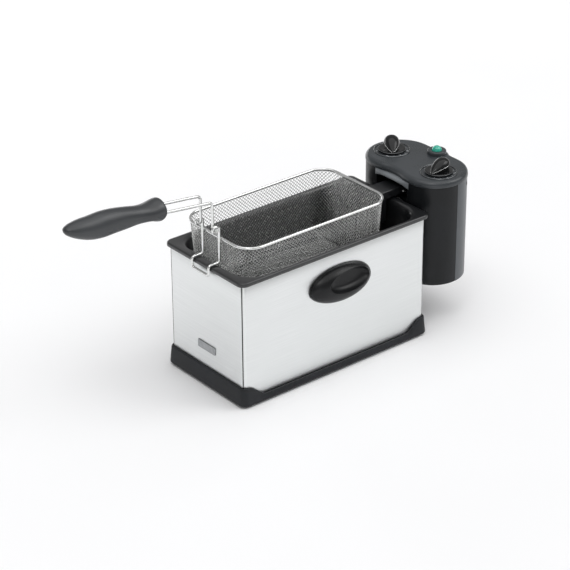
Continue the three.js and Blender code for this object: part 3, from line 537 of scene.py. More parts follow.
def housing_piece():
    """Steel sleeve of two wrapped sheets, with a fine seam beside each corner; a dark rubber strip in each
    seam groove is painted shade for the gap.
    """
    s = span("outer_housing")
    radius, sheet = 6.0, 1.2
    seam_angle, seam_spread = 30, 8
    seam_shade_radius, seam_shade_depth = 0.95, 0.6
    bend_x, bend_y = s.half_x - radius, s.half_y - radius

    def outline(inset, z, groove=0.7):
        pushed = []
        for point in rounded_ring(s.half_x - inset, s.half_y - inset, radius - inset, z, steps=12):
            # The seam lies on the end side of each corner bend.
            p = Vector(point)
            middle = Vector((math.copysign(bend_x, p.x), math.copysign(bend_y, p.y), p.z))
            outward = (p - middle).normalized()
            angle = math.degrees(math.atan2(abs(outward.y), abs(outward.x)))
            near = max(0.0, 1 - abs(angle - seam_angle) / seam_spread) if abs(p.x) > bend_x else 0
            pushed.append(tuple(p - outward * (groove * near)))
        return pushed

    rows = [outline(sheet, s.z0, groove=0)]
    for inset, z in (
        (0.3, s.z0), (0, s.z0 + 0.3), (0, s.z0 + 30), (0, s.z0 + 90), (0, s.z1 - 30),
        (0, s.z1 - 0.3), (0.3, s.z1),
    ):
        rows.append(outline(inset, z))
    rows.append(outline(sheet, s.z1, groove=0))
    piece(
        "housing_sleeve", [skin(rows, joined=True)], STEEL, "appliance", ["outer_housing"],
        crease=50,
    )
    # Dark rubber strips laid in the seam grooves: painted shade standing in for the shaded gap of each seam.
    seam_shade_strips = []
    reach = radius - seam_shade_depth
    for side_x in (-1, 1):
        for side_y in (-1, 1):
            x = side_x * (bend_x + reach * cos(radians(seam_angle)))
            y = side_y * (bend_y + reach * sin(radians(seam_angle)))
            seam_shade_strips.append(tube([(x, y, s.z0 + 0.5), (x, y, s.z1 - 0.5)], seam_shade_radius, sides=12))
    piece("housing_seam_painted_shade", seam_shade_strips, RUBBER, "appliance")


def badge_piece():
    """Blank name plate: a sunk field in a thin raised frame."""
    s = span("blank_badge")
    rings = []
    for inset, depth, radius in (
        (0, 0, 1.6), (0, 0.8, 1.6), (0.35, 1.1, 1.4), (1.0, 1.1, 0.9), (1.25, 0.8, 0.8), (1.6, 0.75, 0.6),
    ):
        flat = rounded_ring(s.half_y - inset, s.half_z - inset, radius, 0, steps=5)
        rings.append([(s.x1 - depth, s.y - u, s.z + v) for u, v, _ in flat])
    piece("name_plate_blank", [skin(rings)], PLATE, "appliance", ["blank_badge"], crease=50)


# ---------------------------------------------------------------- tank


def tank_piece():
    """Coated tank: broad flange with a rolled edge, and a deep pot with full corners."""
    s = span("inner_tank")
    shift, open_x, open_y = 1.5, 147.2, 74.8
    rim_radius = 10.0

    def rim(inset, z):
        return rounded_ring(s.half_x - inset, s.half_y - inset, rim_radius - inset / 2, z, steps=14)

    def wall(inset, radius, z):
        return rounded_ring(open_x - inset, open_y - inset, radius, z, shift, steps=14)

    floor = s.z0 + 1.3
    rows = [
        wall(15.4, 20, s.z0), wall(10.5, 24, s.z0 + 1.6), wall(7.4, 26, s.z0 + 5.5),
        wall(4.8, 30, floor + 15), wall(2.4, 32, s.z1 - 9), wall(1.4, 32, s.z1 - 2.6),
        rim(2.2, s.z1 - 2.2), rim(1.5, s.z1 - 2.6), rim(1.2, s.z1 - 5.3), rim(0.6, s.z1 - 5.5),
        rim(0.1, s.z1 - 5.2), rim(0, s.z1 - 4.4), rim(0, s.z1 - 2.2), rim(0.25, s.z1 - 1.2),
        rim(0.8, s.z1 - 0.45), rim(1.7, s.z1 - 0.05), rim(2.6, s.z1),
        wall(-2.6, 33, s.z1 - 0.05), wall(-0.9, 32.6, s.z1 - 0.5), wall(0.7, 32.2, s.z1 - 1.6),
        wall(1.9, 32, s.z1 - 3.6), wall(2.7, 31.6, s.z1 - 6.5), wall(3.3, 31.2, s.z1 - 12),
        wall(6.1, 29, floor + 15), wall(7.2, 27, floor + 9), wall(9.2, 25, floor + 4.4),
        wall(12.4, 22, floor + 1.5), wall(17, 19, floor),
    ]
    piece("coated_tank", [skin(rows)], COATING, "appliance", ["inner_tank"], crease=50)


# ---------------------------------------------------------------- side handles


def side_handle_part():
    """Oval grip with a scooped recess, drawn for the front side with its back at y = 0."""
    half_long, half_high, depth = 50.5, 25.5, 17.5
    recess_x, recess_z, recess_long, recess_high, recess_depth = 6.5, 5.5, 34.0, 14.5, 12.0
    steps = 72

    def dome(x, z):
        reach = min(hypot(x / half_long, z / half_high), 1)
        return depth * (1 - reach ** 3.2) ** 0.55

    def scooped(share):
        """Depth below the lip at a share of the recess radius."""
        return recess_depth * (1 - share ** 4.5) ** 0.7 if share < 1 else 0

    rings = []

    def add(share_out, share_in, lip=0.0):
        ring = []
        for angle in around(steps):
            c, s = cos(angle), sin(angle)
            inner_x, inner_z = recess_x + recess_long * share_in * c, recess_z + recess_high * share_in * s
            outer_x, outer_z = half_long * c, half_high * s
            x = inner_x + (outer_x - inner_x) * share_out
            z = inner_z + (outer_z - inner_z) * share_out
            ring.append((x, scooped(share_in) * (share_out == 0) - dome(x, z) - lip, z))
        rings.append(ring)

    for share in (0.02, 0.15, 0.3, 0.45, 0.58, 0.7, 0.8, 0.88, 0.94, 0.975):
        add(0, share)
    add(0, 1.0, lip=-0.5)
    add(0.03, 1.0, lip=0.05)
    for share in (0.08, 0.16, 0.26, 0.38, 0.5, 0.62, 0.73, 0.82, 0.89, 0.94, 0.975, 0.993):
        add(share, 1.0)
    for share, height in ((1.0, 1.2), (0.985, 0.05)):
        rings.append([
            (share * half_long * cos(a), -height, share * half_high * sin(a)) for a in around(steps)
        ])
    return skin(rings)


def side_handle_pieces():
    """The same grip on both sides, turned round for the rear."""
    for side, turn in (("front", 0.0), ("rear", pi)):
        s = span(f"side_handle_{side}")
        back = s.y1 if side == "front" else s.y0
        place = Matrix.Translation((s.x, back, s.z)) @ Matrix.Rotation(turn, 4, "Z")
        obj = piece(
            f"carry_handle_{side}", [moved(side_handle_part(), place)], BLACK,
            "appliance", [f"side_handle_{side}"], crease=60,
        )
        obj.modifiers.new("smooth", "SUBSURF").levels = 1


# ---------------------------------------------------------------- basket


def basket_weave():
    """Diagonal plain weave: walls and rounded foot in one net, and the floor in another.

    Wires of both hands cross at every half pitch.
    """
    s = span("basket_mesh")
    pitch_wish, wire, sides = 5.0, 0.36, 4
    taper, foot_radius, corner = 5.0, 14.0, 25.2
    half_x, half_y = s.half_x - 0.8, s.half_y - 0.8
    top, floor = s.z1 + 0.9, s.z0 + 0.9
    straight_x, straight_y = 2 * (half_x - corner), 2 * (half_y - corner)
    arc = corner * pi / 2
    length = 2 * (straight_x + straight_y) + 4 * arc

    def on_leg(start, direction, distance):
        return Vector((s.x + start[0] + direction[0] * distance, start[1] + direction[1] * distance))

    def plan(distance):
        """Point and outward direction on the rim's outline."""
        distance %= length
        legs = (
            (straight_x, (-half_x + corner, -half_y), (1, 0), (0, -1)),
            (straight_y, (half_x, -half_y + corner), (0, 1), (1, 0)),
            (straight_x, (half_x - corner, half_y), (-1, 0), (0, 1)),
            (straight_y, (-half_x, half_y - corner), (0, -1), (-1, 0)),
        )
        for run, start, direction, out in legs:
            if distance <= run:
                return on_leg(start, direction, distance), Vector(out)
            distance -= run
            if distance <= arc:
                angle = distance / corner
                outward = Vector(out) * cos(angle) + Vector(direction) * sin(angle)
                end = on_leg(start, direction, run)
                return end - Vector(out) * corner + outward * corner, outward
            distance -= arc
        raise ValueError("distance runs off the outline")

    wall_run = top - (floor + foot_radius)
    foot_run = foot_radius * pi / 2
    depth_run = wall_run + foot_run

    def place(distance, down, lift):
        point, outward = plan(distance)
        if down <= wall_run:
            inward, z, tilt = taper * down / wall_run, top - down, 0.0
        else:
            tilt = min((down - wall_run) / foot_radius, pi / 2)
            inward = taper + foot_radius * (1 - cos(tilt))
            z = floor + foot_radius * (1 - sin(tilt))
        flat = point - outward * inward + outward * (lift * cos(tilt))
        normal = Vector((outward.x * cos(tilt), outward.y * cos(tilt), -sin(tilt)))
        return Vector((flat.x, flat.y, z - lift * sin(tilt))), normal

    pitch = length / round(length / pitch_wish)
    count = round(length / pitch)
    half = pitch / 2
    steps = int(depth_run / half)

    def strand(samples):
        """A square-section wire through (point, normal) samples."""
        rings = []
        for i, (point, normal) in enumerate(samples):
            before, after = samples[max(i - 1, 0)][0], samples[min(i + 1, len(samples) - 1)][0]
            across = (after - before).cross(normal).normalized()
            rings.append([
                point + wire * (across * cos(a) + normal * sin(a)) for a in around(sides)
            ])
        return skin(rings)

    def over_under(hand, crossing):
        """Over one wire and under the next."""
        return 0.8 * wire * hand * (1 if crossing % 2 else -1)

    walls = []
    for hand in (1, -1):
        for i in range(count):
            walls.append(strand([
                place(i * pitch + hand * k * half, k * half, over_under(hand, k)) for k in range(steps + 1)
            ]))
    piece("basket_wall_weave", walls, WEAVE, "basket", ["basket_mesh"], crease=180)

    bottom = []
    reach_x = half_x - taper - foot_radius + 1.0
    reach_y = half_y - taper - foot_radius + 1.0
    up = Vector((0, 0, 1))
    lines = int((reach_x + reach_y) / pitch) + 1
    for hand in (1, -1):
        for i in range(-lines, lines + 1):
            # The wire runs where y = hand * (x - i * pitch).
            x0 = max(-reach_x, i * pitch - reach_y)
            x1 = min(reach_x, i * pitch + reach_y)
            if x1 - x0 < pitch:
                continue
            crossings = range(math.ceil(x0 / half), math.floor(x1 / half) + 1)
            bottom.append(strand([
                (Vector((s.x + k * half, hand * (k * half - i * pitch), floor + over_under(hand, k))), up)
                for k in crossings
            ]))
    piece("basket_floor_weave", bottom, WEAVE, "basket", crease=180)


def basket_rim_piece():
    """Heavy wire round the top of the basket."""
    s = span("basket_rim_wire")
    radius, corner = s.half_z, 26
    corners = [
        (s.x + side_x * (s.half_x - radius), s.y + side_y * (s.half_y - radius), s.z)
        for side_x, side_y in ((-1, -1), (1, -1), (1, 1), (-1, 1))
    ]
    piece(
        "basket_rim", [tube(bent(corners, corner, closed=True, steps=16), radius, closed=True)],
        CHROME, "basket", ["basket_rim_wire"],
    )


def basket_hook_piece():
    """Hanging hook and the two eyes that carry the folding handle."""
    s = span("basket_hook_frame")
    wire, eye_radius, eye_wire = 1.9, 4.2, 1.6
    half = s.half_y - wire
    rods = span("handle_rod_front")
    pivot_x, pivot_z = rods.x1 - wire, rods.z0 + wire
    wall_x = span("basket_mesh").x0 - 4.1
    outer_x, low_z, rest_z = s.x0 + wire, s.z0 + wire, 182.3
    top_z = 231.0

    def side(y):
        return [(wall_x, y, top_z), (wall_x, y, rest_z), (outer_x, y, rest_z), (outer_x, y, low_z)]

    path = bent(side(-half) + side(half)[::-1], 4)
    parts = [tube(path, wire)]
    for y in (-half, half):
        ring = [
            (pivot_x + eye_radius * cos(a), y, pivot_z + eye_radius * sin(a)) for a in around(28)
        ]
        parts.append(tube(ring, eye_wire, sides=10, closed=True))
    piece("basket_hook", parts, CHROME, "basket", ["basket_hook_frame"])


# ---------------------------------------------------------------- basket handle

HANDLE_TILT = radians(6.8)


def handle_geometry():
    front = span("handle_rod_front")
    wire = 1.9
    return SimpleNamespace(
        wire=wire, pivot_x=front.x1 - wire, pivot_z=front.z0 + wire, leg_top=265.5,
        rod_y=12.3, pin_end=-front.y0, grip_start=71.0, grip_end=212.7,
    )


def along_handle(h, distance, up=0.0):
    """X and Z at a distance outwards from the top of the legs, raised across the handle."""
    x = h.pivot_x - distance * cos(HANDLE_TILT) + up * sin(HANDLE_TILT)
    z = h.leg_top + distance * sin(HANDLE_TILT) + up * cos(HANDLE_TILT)
    return x, z


def handle_rod_pieces():
    h = handle_geometry()
    for side, name in ((-1, "front"), (1, "rear")):
        y = side * h.rod_y
        end_x, end_z = along_handle(h, h.grip_start + 13)
        leg = bent([(h.pivot_x, y, h.pivot_z + 8), (h.pivot_x, y, h.leg_top), (end_x, y, end_z)], 6, steps=10)
        pin = (h.pivot_x, side * h.pin_end, h.pivot_z)
        foot = bent([(h.pivot_x, y, h.pivot_z + 8), (h.pivot_x, y, h.pivot_z), pin], 3)
        path = foot[::-1] + leg[1:]
        piece(
            f"handle_wire_{name}", [tube(path, h.wire)], CHROME,
            "basket_handle", [f"handle_rod_{name}"],
        )


def handle_grip_piece():
    """Moulded grip: flared collar, slim neck, full palm and a rounded butt."""
    h = handle_geometry()
    length = h.grip_end - h.grip_start
    keys = [
        # fraction of the length, half height, half width, rise of the middle
        [0.000, 8.0, 14.6, 0.9], [0.004, 11.2, 15.6, 0.9], [0.014, 13.6, 16.2, 0.8],
        [0.030, 14.6, 16.4, 0.7], [0.070, 13.7, 16.6, 0.4], [0.120, 11.6, 16.2, 0.0],
        [0.180, 11.1, 14.4, -0.5], [0.250, 11.5, 12.8, -0.9], [0.380, 14.0, 13.2, -1.4],
        [0.500, 15.6, 14.4, -1.9], [0.620, 16.5, 15.2, -3.3], [0.740, 14.8, 15.0, -4.5],
        [0.840, 12.2, 13.6, -3.9], [0.920, 8.8, 11.0, -3.2], [0.970, 5.6, 7.8, -2.7],
        [0.992, 3.0, 4.4, -2.4], [1.000, 1.0, 1.4, -2.4],
    ]
    fractions = [0, 0.002, 0.004, 0.008, 0.014, 0.022, 0.03, 0.045, 0.06]
    fractions += [0.08 + 0.03 * k for k in range(30)] + [0.965, 0.98, 0.988, 0.994, 1.0]
    rings = []
    for fraction in fractions:
        half_height, half_width, rise = smooth_table(keys, min(fraction, 0.99999))
        ring = []
        for angle in around(40):
            x, z = along_handle(h, h.grip_start + fraction * length, rise + half_height * sin(angle))
            ring.append((x, half_width * cos(angle), z))
        rings.append(ring)
    # The grip takes the lightened plastic copy, partly a painted sheen.
    piece(
        "handle_grip_moulding", [skin(rings)], GRIP_PAINTED_SHEEN, "basket_handle",
        ["handle_grip"], crease=60,
    )


# ---------------------------------------------------------------- control head


def cubic(a, b, c, d, steps):
    """Points of a cubic curve after its first."""
    points = []
    for k in range(1, steps + 1):
        t = k / steps
        u = 1 - t
        points.append(tuple(
            u**3 * a[i] + 3 * u * u * t * b[i] + 3 * u * t * t * c[i] + t**3 * d[i] for i in (0, 1)
        ))
    return points


def arc_points(x, y, radius, start, end, steps):
    points = []
    for k in range(steps + 1):
        angle = start + (end - start) * k / steps
        points.append((x + radius * cos(angle), y + radius * sin(angle)))
    return points


def head_outline():
    """Plan of the head: two lobes, a waist in front and a bump behind, counter-clockwise."""
    s = span("head_deck")
    front_x, bump_x, side_y = s.x0, s.x1, s.half_y
    waist_x, front_radius, back_radius = front_x + 5, 42.5, 48
    waist_half = side_y - front_radius
    back_x, bump_half = bump_x - 5.5, 20
    quarter = pi / 2
    half = [(waist_x, 0)]
    pull = -waist_half * 0.45
    half += cubic((waist_x, 0), (waist_x, pull), (front_x, pull), (front_x, -waist_half), 14)
    half += arc_points(front_x + front_radius, front_radius - side_y, front_radius, pi, 3 * quarter, 20)
    half += arc_points(back_x - back_radius, back_radius - side_y, back_radius, -quarter, 0, 20)
    half += [(back_x, -bump_half)]
    half += cubic(
        (back_x, -bump_half), (back_x, -bump_half * 0.5), (bump_x, -bump_half * 0.6), (bump_x, 0), 12,
    )
    clean = [half[0]]
    for point in half[1:]:
        if math.dist(point, clean[-1]) > 0.05:
            clean.append(point)
    mirrored = [(x, -y) for x, y in reversed(clean[1:-1])]
    return clean + mirrored


def inset_points(outline, inset):
    """An outline moved inwards by a distance, or by a distance worked out from each point's X."""
    points = []
    for i, (x, y) in enumerate(outline):
        (ax, ay), (bx, by) = outline[i - 1], outline[(i + 1) % len(outline)]
        size = hypot(bx - ax, by - ay)
        distance = inset(x) if callable(inset) else inset
        points.append((x - (by - ay) / size * distance, y + (bx - ax) / size * distance))
    return points


HEAD_OUTLINE = head_outline()


def head_ring(inset, z):
    return [(x, y, z) for x, y in inset_points(HEAD_OUTLINE, inset)]


def lid_front_x(y):
    """Where the head's outline meets its front at this distance from the middle."""
    found = []
    for (ax, ay), (bx, by) in zip(HEAD_OUTLINE, HEAD_OUTLINE[1:] + HEAD_OUTLINE[:1]):
        if ay != by and min(ay, by) <= y <= max(ay, by):
            found.append(ax + (bx - ax) * (y - ay) / (by - ay))
    return min(found)


def kept_run(outline, limit, sign):
    """The open run of an outline beyond a line across the head, with its two cut ends."""
    count = len(outline)
    inside = [sign * (x - limit) > 0 for x, _ in outline]
    start = next(i for i in range(count) if inside[i] and not inside[i - 1])
    run = []
    while inside[(start + len(run)) % count]:
        run.append(outline[(start + len(run)) % count])

    def crossing(a, b):
        return limit, a[1] + (b[1] - a[1]) * (limit - a[0]) / (b[0] - a[0])

    first = crossing(outline[start - 1], run[0])
    last = crossing(run[-1], outline[(start + len(run)) % count])
    return [first] + run + [last]


def head_shell(name, node, sign, limit, material):
    """One half of the head's wall, on one side of the parting line."""
    s = span(node)
    gap, wall = 0.7, 2.4
    outside = kept_run(inset_points(HEAD_OUTLINE, gap), limit, sign)
    inside = kept_run(inset_points(HEAD_OUTLINE, gap + wall), limit, sign)
    loop = outside + inside[::-1]
    rings = [[(x, y, z) for x, y in loop] for z in (s.z0, s.z1)]
    return piece(name, [skin(rings)], material, "control_head", [node])


ARM_RECESS = SimpleNamespace(half=30.0, low=176.0, high=199.5, deep=177.0)


def head_shell_pieces():
    """Front and rear casings; the front one is cut away for the arm's recess."""
    recess = ARM_RECESS
    seam_front, seam_rear = span("head_front_shell").x1, span("head_rear_shell").x0
    # The front casing takes the darkened plastic copy, which is painted shade.
    front = head_shell("head_casing_front", "head_front_shell", -1, seam_front, HEAD_PAINTED_SHADE_DARK)
    carve(front, block(150, recess.deep, -recess.half, recess.half, recess.low, recess.high))
    # The rear casing takes the lightened plastic copy, which is a painted highlight.
    rear = head_shell("head_casing_rear", "head_rear_shell", 1, seam_rear, HEAD_PAINTED_HIGHLIGHT_GREY)
    soften(front, 0.7, 3)
    soften(rear, 0.7, 3)


def head_recess_piece():
    """Lining of the recess behind the arm: a tray let into the front wall, open to the front."""
    recess = ARM_RECESS
    wall, setback = 1.2, 1.6
    columns = 24
    places = [-recess.half + 2 * recess.half * k / columns for k in range(columns + 1)]
    front_edge = [(lid_front_x(y) + setback, y) for y in places]
    plan = front_edge + [(recess.deep, recess.half), (recess.deep, -recess.half)]
    parts = [
        skin([[(x, y, z) for x, y in plan] for z in levels])
        for levels in ((recess.low - wall, recess.low), (recess.high, recess.high + wall))
    ]
    parts.append(
        block(recess.deep, recess.deep + wall, -recess.half - wall, recess.half + wall,
              recess.low - wall, recess.high + wall),
    )
    side_x = lid_front_x(recess.half) + setback
    for y0, y1 in ((-recess.half - wall, -recess.half), (recess.half, recess.half + wall)):
        parts.append(block(side_x, recess.deep, y0, y1, recess.low - wall, recess.high + wall))
    # The recess lining takes the darkened plastic copy, which is painted shade.
    piece("head_arm_recess", parts, HEAD_PAINTED_SHADE_DARK, "control_head", crease=30)


def case_screw_piece():
    """Dark screws, one sunk in each side of the rear casing."""
    middle_x, middle_y, radius = 204.0, 31.5, 47.3
    parts = []
    for side in (-1, 1):
        outward = Vector((0.6, side * 0.8, 0))
        spot = Vector((middle_x, side * middle_y, 197.6)) + outward * radius
        place = Matrix.Translation(spot) @ outward.to_track_quat("Z", "Y").to_matrix().to_4x4()
        profile = [(0, -0.8), (2.5, -0.8), (2.5, 0.1), (2.1, 0.35), (1.0, 0.25), (0, -0.1)]
        parts.append(moved(turned(profile, (0, 0, 0), steps=24), place))
    piece("case_screws", parts, BLACK, "control_head")


def head_deck_piece():
    """Lid of the head: its edge rolls over in a long curve in front and a shorter one behind."""
    s = span("head_deck")
    fall = 6.0

    def edge(share, z):
        return head_ring(lambda x: (7.0 - 3.0 * (x - s.x0) / (s.x1 - s.x0)) * share, z)

    rows = [head_ring(3.5, s.z0), head_ring(0.5, s.z0), head_ring(0.1, s.z0 + 0.3), head_ring(0, s.z0 + 0.8)]
    turns = 9
    for step in range(turns + 1):
        angle = pi / 2 * step / turns
        rows.append(edge(1 - cos(angle), s.z1 - fall * (1 - sin(angle))))
    rows.append(edge(1.25, s.z1))
    piece("head_lid", [skin(rows)], HEAD, "control_head", ["head_deck"], crease=50)


def head_visor_piece():
    """Hood over the arm: it grows out of the front wall below the lid and dies away at both ends."""
    deck, shell = span("head_deck"), span("head_front_shell")
    half, top = 33.0, deck.z0 - 0.3
    middle_z, end_z = 201.0, 196.5
    columns = 36
    rings = []
    for step in range(columns + 1):
        y = half * (2 * step / columns - 1)
        share = abs(y) / half
        wall_x = lid_front_x(y) + 0.7
        lip_x = shell.x0 + (wall_x - 0.2 - shell.x0) * share ** 4
        lip_z = middle_z + (end_z - middle_z) * share ** 3
        reach, fall = wall_x - lip_x, top - lip_z - 1.6
        ring = [(wall_x + 1.2, y, lip_z + 0.6), (wall_x + 1.2, y, top)]
        for turn in range(8):
            angle = pi / 2 * turn / 7
            ring.append((wall_x - reach * sin(angle), y, top - fall * (1 - cos(angle))))
        ring += [
            (lip_x, y, lip_z + 0.5), (lip_x + 0.12 * reach, y, lip_z), (lip_x + 0.4 * reach, y, lip_z + 0.1),
        ]
        rings.append(ring)
    # The hood's light grey plastic is a painted highlight.
    piece("head_hood", [skin(rings)], HOOD_PAINTED_HIGHLIGHT, "control_head", crease=50)


def bridge_arm_piece():
    """Folded sheet arm from the head over the tank's rim and down to the element."""
    s = span("bridge_arm")
    leg_x, underside = s.x0 + 20, s.z1 - 10.7
    corners = [
        (s.x1, underside), (s.x1, s.z1), (s.x0 + 4, s.z1), (s.x0, s.z1 - 4),
        (s.x0, s.z0), (leg_x, s.z0), (leg_x, underside),
    ]
    rings = [[(x, y, z) for x, z in corners] for y in (s.y0, s.y1)]
    obj = piece("element_arm", [skin(rings)], COATING, "control_head", ["bridge_arm"])
    soften(obj, 0.9, 3)


def arm_screw_pieces():
    """Domed screws on both sides of the arm, with crossed slots."""
    for number in (1, 2):
        s = span(f"arm_screw_{number}")
        outward = -1 if s.y < 0 else 1
        radius = s.half_x
        start = s.y1 if s.y < 0 else s.y0
        profile = [
            (radius * 0.9, 0), (radius, 0.25), (radius, 0.8), (radius * 0.86, 1.25), (radius * 0.55, 1.55),
            (0, 1.62),
        ]
        dome = turned([(r, outward * h) for r, h in profile], (s.x, start, s.z), axis="Y", steps=24)
        obj = piece(
            f"arm_screw_head_{number}", [dome], CHROME, "control_head", [f"arm_screw_{number}"],
        )
        top = start + outward * 1.75
        inner = start + outward * 0.8
        y0, y1 = min(top, inner), max(top, inner)
        carve(
            obj,
            block(s.x - 1.5, s.x + 1.5, y0, y1, s.z - 0.3, s.z + 0.3),
            block(s.x - 0.3, s.x + 0.3, y0, y1, s.z - 1.5, s.z + 1.5),
        )


def heating_element_piece():
    """Heater tube bent into a flat loop over the tank's floor."""
    s = span("heating_element")
    radius = 3.4
    lead_x, lead_y, plane = s.x1 - radius, 9.0, s.z0 + radius
    near_x, far_x, inner_x, outer_y, inner_y = 98.0, s.x0 + radius, 72.0, s.y1 - radius, 16.0
    top = span("bridge_arm").z0 + 4

    def half(side):
        return [
            (lead_x, side * lead_y, top), (lead_x, side * lead_y, plane), (near_x, side * lead_y, plane),
            (near_x, side * outer_y, plane), (far_x, side * outer_y, plane), (far_x, side * inner_y, plane),
            (inner_x, side * inner_y, plane),
        ]

    path = bent(half(-1) + half(1)[::-1], 12, steps=10)
    piece(
        "heater_coil", [tube(path, radius, sides=16)], HEATER, "control_head",
        ["heating_element"],
    )


def thermostat_bulb_piece():
    """Thermostat feeler: a capsule in the tank and the capillary down to it."""
    s = span("thermostat_bulb")
    radius = s.half_y
    z = s.z0 + radius
    wire, entry_x, long = 1.2, 58, 90
    lead_x = s.x1 - wire
    capillary = bent([(lead_x, 0, s.z1), (lead_x, 0, z), (entry_x, 0, z)], 6)
    profile = [
        (0.5, 0), (radius * 0.7, 0.4), (radius, 2), (radius, long - 2), (radius * 0.7, long - 0.4),
        (0.5, long),
    ]
    capsule = turned(profile, (s.x0, 0, z), axis="X", steps=24)
    piece(
        "thermostat_feeler", [tube(capillary, wire, sides=10), capsule], CHROME, "control_head",
        ["thermostat_bulb"],
    )


# ---------------------------------------------------------------- controls on the lid


def knob_piece(name, turn, body):
    """Flat dish with a grip like a boat's hull: chrome lines along its two creases are painted highlights,
    and a plated rim runs round the dish.
    """
    s = span(f"{name}_knob")
    ring = span(f"{name}_dial_ring")
    centre = (ring.x, ring.y, s.z0)
    dish = turned([
        (0, 0), (18.2, 0), (18.9, 0.5), (19.0, 1.3), (18.6, 2.1), (17.6, 2.55), (15.5, 2.45), (10, 2.2),
        (0, 2.1),
    ], centre, steps=64)
    keys = [
        # place along the grip, half width at the crease, height of the crease, height of the top
        [-17.4, 0.8, 2.7, 3.3], [-12.0, 5.0, 4.4, 7.8], [-6.0, 8.0, 6.0, 11.8],
        [0.0, 10.0, 7.4, 14.7], [6.0, 10.8, 8.4, 16.2], [11.0, 10.0, 8.9, 16.4],
        [15.0, 7.4, 8.6, 14.8], [17.5, 2.4, 7.8, 11.0],
    ]
    rings = []
    rows = 34
    tail, prow = keys[0][0], keys[-1][0]
    for row in range(rows + 1):
        x = tail + (prow - tail) * row / rows
        wide, crease, top = smooth_table(keys, min(x, prow - 0.0001))
        side = [
            (0.74 * wide, 1.0), (0.8 * wide, 0.55 * crease), (0.955 * wide, crease - 0.5),
            (wide, crease - 0.1), (0.985 * wide, crease + 0.35),
        ]
        for step in range(1, 8):
            angle = pi / 2 * step / 8
            across, up = cos(angle) ** 0.85, sin(angle) ** 1.1
            side.append((0.97 * wide * across, crease + (top - crease) * up))
        outline = side + [(0, top)] + [(-y, z) for y, z in reversed(side)]
        rings.append([(x, y, z) for y, z in outline])
    place = Matrix.Translation(centre) @ Matrix.Rotation(turn, 4, "Z")
    piece(
        f"{name}_knob_moulding", [dish, moved(skin(rings), place)], GLOSS, body,
        [f"{name}_knob"], crease=32,
    )
    # Chrome lines along both creases: painted highlights standing in for the glint on each crease's edge.
    crease_highlight_radius, line_start, line_end = 0.26, -17.0, 8.0
    lines = []
    for side in (-1, 1):
        crest = []
        for step in range(17):
            x = line_start + (line_end - line_start) * step / 16
            wide, crease, _ = smooth_table(keys, x)
            crest.append((x, side * (wide - 0.1), crease))
        lines.append(moved(tube(crest, crease_highlight_radius, sides=8), place))
    piece(f"{name}_knob_crease_painted_highlights", lines, CHROME, body, crease=180)
    rim_radius, rim_height, rim_wire = 18.85, 1.9, 0.4
    edge = [(rim_radius * cos(a), rim_radius * sin(a), rim_height) for a in around(72)]
    rim = moved(tube(edge, rim_wire, sides=10, closed=True), place)
    piece(f"{name}_knob_rim", [rim], DARK_CHROME, body, crease=180)


def dial_ring_piece(name):
    s = span(f"{name}_dial_ring")
    outer = s.half_x
    profile = [
        (outer - 2, -0.4), (outer, -0.4), (outer, 0.3), (outer - 0.2, 0.75), (outer - 0.7, 1.0),
        (outer - 1.3, 1.0), (outer - 1.8, 0.75), (outer - 2, 0.3),
    ]
    piece(
        f"{name}_trim_ring", [turned(profile, (s.x, s.y, s.z0), steps=72, joined=True)], DARK_CHROME,
        "control_head", [f"{name}_dial_ring"], crease=60,
    )


def marks_piece(name, numbers, start, sweep, size):
    """Printed scale inside a dial ring: generic numbers with a tick half-way between them.

    The first number stands at the start angle and the last one after the sweep, in degrees clockwise.
    """
    radius = 21.1
    start, sweep = radians(start), radians(sweep)
    ring = span(f"{name}_dial_ring")
    centre = Vector((ring.x, ring.y, span("head_deck").z1 + 0.06))
    parts = []
    count = len(numbers)
    for i, label in enumerate(numbers):
        angle = start - sweep * i / (count - 1)
        if i < count - 1:
            half_way = angle - sweep / (count - 1) / 2
            tick = heading(half_way)
            across = Vector((-tick.y, tick.x, 0)) * 0.25
            inner, outer = centre + tick * (radius - 0.9), centre + tick * (radius + 0.9)
            parts.append(([inner - across, inner + across, outer + across, outer - across], [(0, 1, 2, 3)]))
        text = bpy.data.curves.new("mark", "FONT")
        text.body = label
        text.size = size * MM
        text.offset = 0.00008
        text.align_x = text.align_y = "CENTER"
        text.resolution_u = 3
        holder = placed("mark", text)
        flat = made_mesh(holder)
        spot = centre + heading(angle) * radius
        facing = Matrix.Rotation(-pi / 2, 3, "Z")
        points = [spot + facing @ (v.co / MM) for v in flat.vertices]
        parts.append((points, [tuple(p.vertices) for p in flat.polygons]))
        bpy.data.objects.remove(holder)
        bpy.data.curves.remove(text)
        bpy.data.meshes.remove(flat)
    piece(f"{name}_scale_print", parts, PRINT, "control_head", crease=180)


def lamp_pieces():
    """Indicator lamp: a rounded surround and a domed lens."""
    bezel, lens = span("lamp_bezel"), span("indicator_lens")
    outer, inner, height = bezel.half_x, lens.half_x + 0.1, bezel.z1 - bezel.z0
    profile = [
        (inner, -1.3), (outer, -1.3), (outer, height - 1.6), (outer - 0.5, height - 0.6),
        (outer - 1.3, height), (inner + 0.5, height), (inner, height - 0.5),
    ]
    piece(
        "lamp_surround", [turned(profile, (bezel.x, bezel.y, bezel.z0), steps=56, joined=True)], HEAD,
        "control_head", ["lamp_bezel"], crease=50,
    )
    r, h = lens.half_x, lens.z1 - lens.z0
    dome = [(r, 0)] + [
        (r * cos(a), h - r + r * sin(a)) for a in (pi / 2 * k / 10 for k in range(11))
    ]
    piece(
        "lamp_lens", [turned(dome, (lens.x, lens.y, lens.z0))], LENS, "control_head",
        ["indicator_lens"], crease=60,
    )


